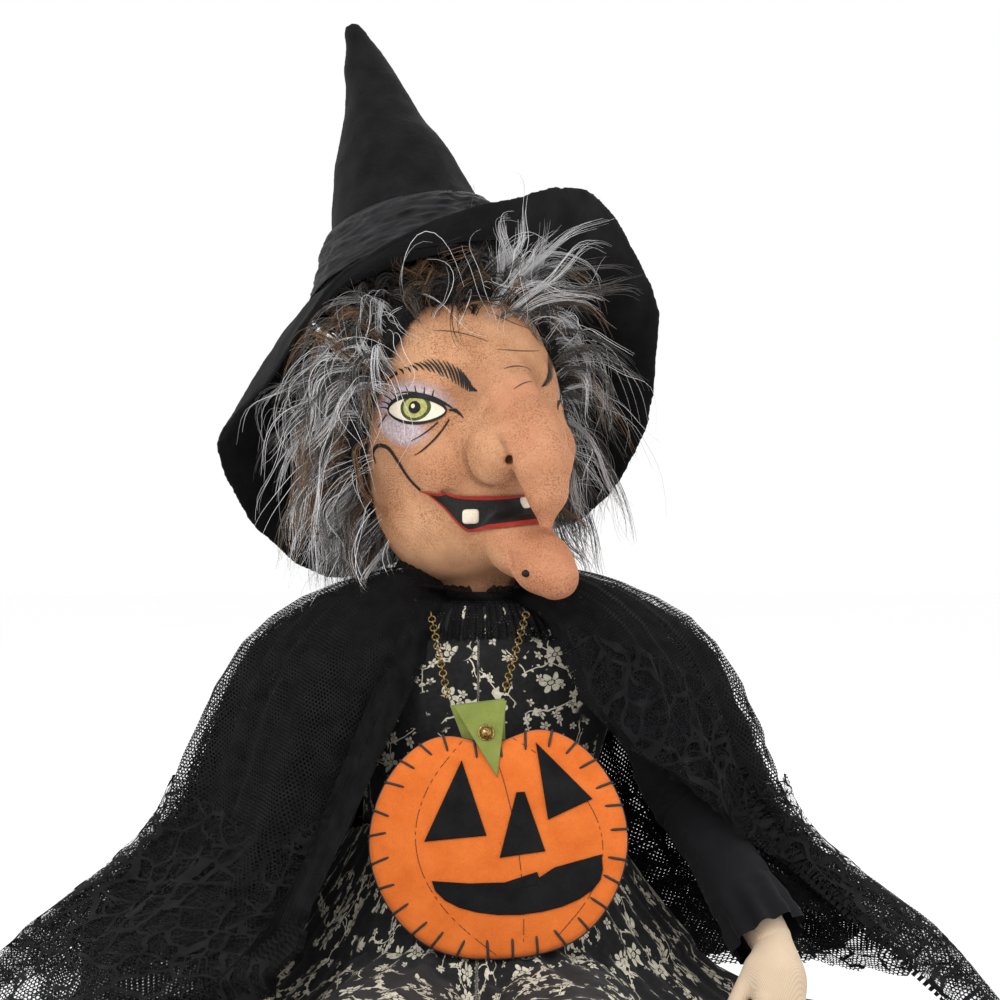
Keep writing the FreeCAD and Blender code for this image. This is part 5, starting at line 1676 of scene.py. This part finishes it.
def pumpkin(count):
    """The purse's edge in its own plane: a flattened round with a dip at the stem."""
    edge = []
    for k in range(count):
        a = 2 * math.pi * k / count
        dip = STEM_DIP * math.exp(-((a - math.pi / 2) / STEM_SPREAD) ** 2)
        edge.append((HALF_WIDTH * math.cos(a),
                     HALF_HEIGHT * math.sin(a) * (1 - 0.03 * math.cos(4 * a)) - dip))
    return np.array(edge)


EDGE = pumpkin(240)
EDGE_CENTRE = np.array([1.0, -2.0])


def panel(name, y_sign, mat):
    """One felt side of the purse, a little full in the middle."""
    rings, thick = 30, FELT
    verts = []
    for r in range(rings + 1):
        t = max(r / rings, 0.004)
        for q in EDGE_CENTRE + (EDGE - EDGE_CENTRE) * t:
            full = 3.2 * (1 - t ** 2.5)
            v = Vector((q[0], q[1], y_sign * 9))
            ripple = 1.1 * perlin(v * 0.022) + 0.5 * perlin(v * 0.06)
            round_off = thick * (1 - 0.55 * smooth((t - 0.975) / 0.025))
            verts.append(purse_to_row(q[0], y_sign * (round_off + full + ripple * (1 - t ** 6)), q[1]))
    n = len(EDGE)
    faces = grid_faces(rings + 1, n, True)
    last = rings * n
    base = len(verts)
    for q in EDGE:
        verts.append(purse_to_row(q[0], 0.05 * y_sign, q[1]))
    faces += [(last + j, base + j, base + (j + 1) % n, last + (j + 1) % n) for j in range(n)]
    return piece(name, verts, faces, mat, "purse")


front = panel("purse_front_felt", -1, ORANGE)
back = panel("purse_back_felt", 1, ORANGE)
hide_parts("purse_front")
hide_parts("purse_back")
FRONT_TREE = BVHTree.FromObject(front, bpy.context.evaluated_depsgraph_get())


def on_purse(x, z, lift):
    """A point lying on the purse's front felt."""
    start = Vector(purse_to_row(x, -40, z)) * MM
    way = LEAN @ Vector((0, 1, 0))
    inverse = front.matrix_world.inverted()
    hit = FRONT_TREE.ray_cast(inverse @ start, way)
    if hit[0] is None:
        return purse_to_row(x, -FELT - lift, z)
    return np.array(front.matrix_world @ hit[0]) / MM - np.array(way) * lift


def patch(name, shapes, mat, body, thick=1.3, seat=on_purse):
    """Felt shapes lying on the purse, with their cut edge showing."""
    verts, faces = [], []
    for outline in shapes:
        pts = []
        for a, b in zip(outline, outline[1:] + outline[:1]):
            steps = max(3, int(math.dist(a, b) / 1.6))
            pts += [(a[0] + (b[0] - a[0]) * k / steps, a[1] + (b[1] - a[1]) * k / steps)
                    for k in range(steps)]
        edge = np.array(pts)
        centre, n, start = edge.mean(axis=0), len(edge), len(verts)
        levels = [(0.02, thick), (0.35, thick), (0.7, thick), (0.93, thick), (0.985, thick * 0.92),
                  (1.0, thick * 0.6), (1.0, 0.05)]
        for reach, lift in levels:
            for q in centre + (edge - centre) * reach:
                verts.append(seat(q[0], q[1], lift + 0.12))
        faces += grid_faces(len(levels), n, True, start)
    return piece(name, verts, faces, mat, body)


def cut_felt(shapes):
    """Gathers the points of felt outlines, in mm, and their doubled areas; neither is kept."""
    points = np.array([q for shape in shapes for q in shape], float)
    twice = [abs(sum(a[0] * b[1] - b[0] * a[1] for a, b in zip(s, s[1:] + s[:1]))) for s in shapes]


LEFT_EYE = [(-45, 2), (-7, 3), (-19, 50)]
RIGHT_EYE = [(27, 58), (59, 21), (31, 10)]
NOSE_CUT = [(0, -11), (28, -9), (18, 28), (13, 28)]
SMILE_CENTRE, SMILE_WIDE, SMILE_DEEP = (10, -22), 52, 24
SMILE_TOOTH = [(62, -13), (33, -19), (32, -26), (24, -28), (22, -21), (2, -26), (-20, -25)]
SMILE = []
for k in range(13):
    a = math.pi + math.pi * k / 12
    SMILE.append((SMILE_CENTRE[0] + SMILE_WIDE * math.cos(a), SMILE_CENTRE[1] + SMILE_DEEP * math.sin(a)))
SMILE += SMILE_TOOTH
FACE_CUTS = [LEFT_EYE, RIGHT_EYE, NOSE_CUT, SMILE]
face_felt = patch("purse_face_felt", FACE_CUTS, BLACK_FELT, "purse")
cut_felt(FACE_CUTS)
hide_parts("purse_face")

stitches = []
loop = np.vstack([EDGE, EDGE[:1]])
lengths = np.concatenate([[0], np.cumsum(np.linalg.norm(np.diff(loop, axis=0), axis=1))])
STITCHES = 29


def edge_at(d):
    """The point of the purse's edge at a distance along it."""
    d = d % lengths[-1]
    return np.array([np.interp(d, lengths, loop[:, k]) for k in (0, 1)])


pitch = lengths[-1] / STITCHES
for k in range(STITCHES):
    d = k * pitch + rng.uniform(-1.5, 1.5)
    q = edge_at(d)
    inward = unit(EDGE_CENTRE - q)
    inward = unit(inward + 0.25 * rng.uniform(-1, 1) * np.array([-inward[1], inward[0]]))
    depth = 10.5 + rng.uniform(-1.2, 1.2)
    pts = [on_purse(*(q + inward * t), 0.35) for t in np.linspace(depth, 0.9, 6)]
    pts += [purse_to_row(q[0] - inward[0] * 0.7, y, q[1] - inward[1] * 0.7) for y in (-1.8, 0.0, 1.8)]
    behind = q + inward * 4
    pts.append(purse_to_row(behind[0], FELT + 0.3, behind[1]))
    stitches.append((pts, 0.85))
    walk = [edge_at(d + pitch * t) for t in np.linspace(0.02, 0.98, 9)]
    stitches.append(([purse_to_row(w[0] * 1.003, -0.1, w[1] * 1.003 - 0.1) for w in walk], 0.5))
RIBS = [arch((-18, 62), (-6, -69), 0.0), arch((2, 52), (11, -62), 0.0), arch((13, 62), (32, -60), 0.0)]
RIB_BOWS = (-38, 5, 40)
for rib, bow in zip(RIBS, RIB_BOWS):
    bent = [(x + 4 * bow * t * (1 - t), z) for (x, z), t in zip(rib, np.linspace(0, 1, len(rib)))]
    run = through(bent, 60)
    for k in range(59):
        a, b = run[k], run[k + 1]
        if k % 2 == 0 or rng.uniform() < 0.55:
            stitches.append(([on_purse(*(a + (b - a) * t), 0.16) for t in (0.0, 0.5, 1.0)], 0.26))
tubes("purse_stitching", stitches, THREAD, "purse", 5)


def flap_seat(base, depth):
    def seat(x, z, lift):
        return purse_to_row(x, base - lift + depth(x, z), z)
    return seat


TAB_CUT = [[(-24, 86), (10, 88), (8, 50), (-12, 46)]]
tab = patch("purse_tab_felt", TAB_CUT, GREEN, "purse", 2.2,
            flap_seat(FELT + 4.4, lambda x, z: 0.0))
cut_felt(TAB_CUT)
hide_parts("purse_tab")
FLAP_CUT = [[(-22, 84), (11, 85), (2, 38)]]
flap = patch("purse_flap_felt", FLAP_CUT, GREEN, "flap", 2.0,
             flap_seat(-FELT - 1.6, lambda x, z: 0.6 * math.sin(x * 0.2)))
cut_felt(FLAP_CUT)
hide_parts("purse_flap")

# ---------------------------------------------------------------- stage
FLOOR = 9000
SENSOR, EYE_DISTANCE, VIEW_WIDTH = 36.0, 1.8, 0.65
floor = piece("floor", [(-FLOOR, -FLOOR, 0), (FLOOR, -FLOOR, 0), (FLOOR, FLOOR, 0), (-FLOOR, FLOOR, 0)],
              [(0, 1, 2, 3)],
              hard("floor_pale", (0.985, 0.985, 0.985), (0.995, 0.995, 0.995), 0.9, scale=3,
                   strength=0.02), flat=True)

world = bpy.data.worlds.new("studio")
bpy.context.scene.world = world
world.use_nodes = True
world.node_tree.nodes["Background"].inputs[0].default_value = (1, 1, 1, 1)
world.node_tree.nodes["Background"].inputs[1].default_value = 1.0


def lamp(name, at, target, size, power):
    light = bpy.data.lights.new(name, "AREA")
    light.energy, light.size = power, size
    obj = bpy.data.objects.new(name, light)
    bpy.context.scene.collection.objects.link(obj)
    obj.location = at
    obj.rotation_euler = (Vector(target) - Vector(at)).to_track_quat("-Z", "Y").to_euler()
    return obj


lamp("key", (-1.3, -1.9, 1.7), (0, 0, 0.35), 1.2, 26)
lamp("fill", (1.7, -1.6, 0.9), (0, 0, 0.3), 1.6, 9)
lamp("back", (0.4, 1.8, 1.6), (0, 0, 0.4), 1.4, 14)

camera = bpy.data.objects.new("camera", bpy.data.cameras.new("camera"))
bpy.context.scene.collection.objects.link(camera)
camera.location = EYE_POINT * MM
camera.rotation_euler = (math.pi / 2, 0, 0)
camera.data.sensor_width = SENSOR
camera.data.lens = SENSOR * EYE_DISTANCE / VIEW_WIDTH
bpy.context.scene.camera = camera
bpy.context.scene.view_settings.view_transform = "Standard"
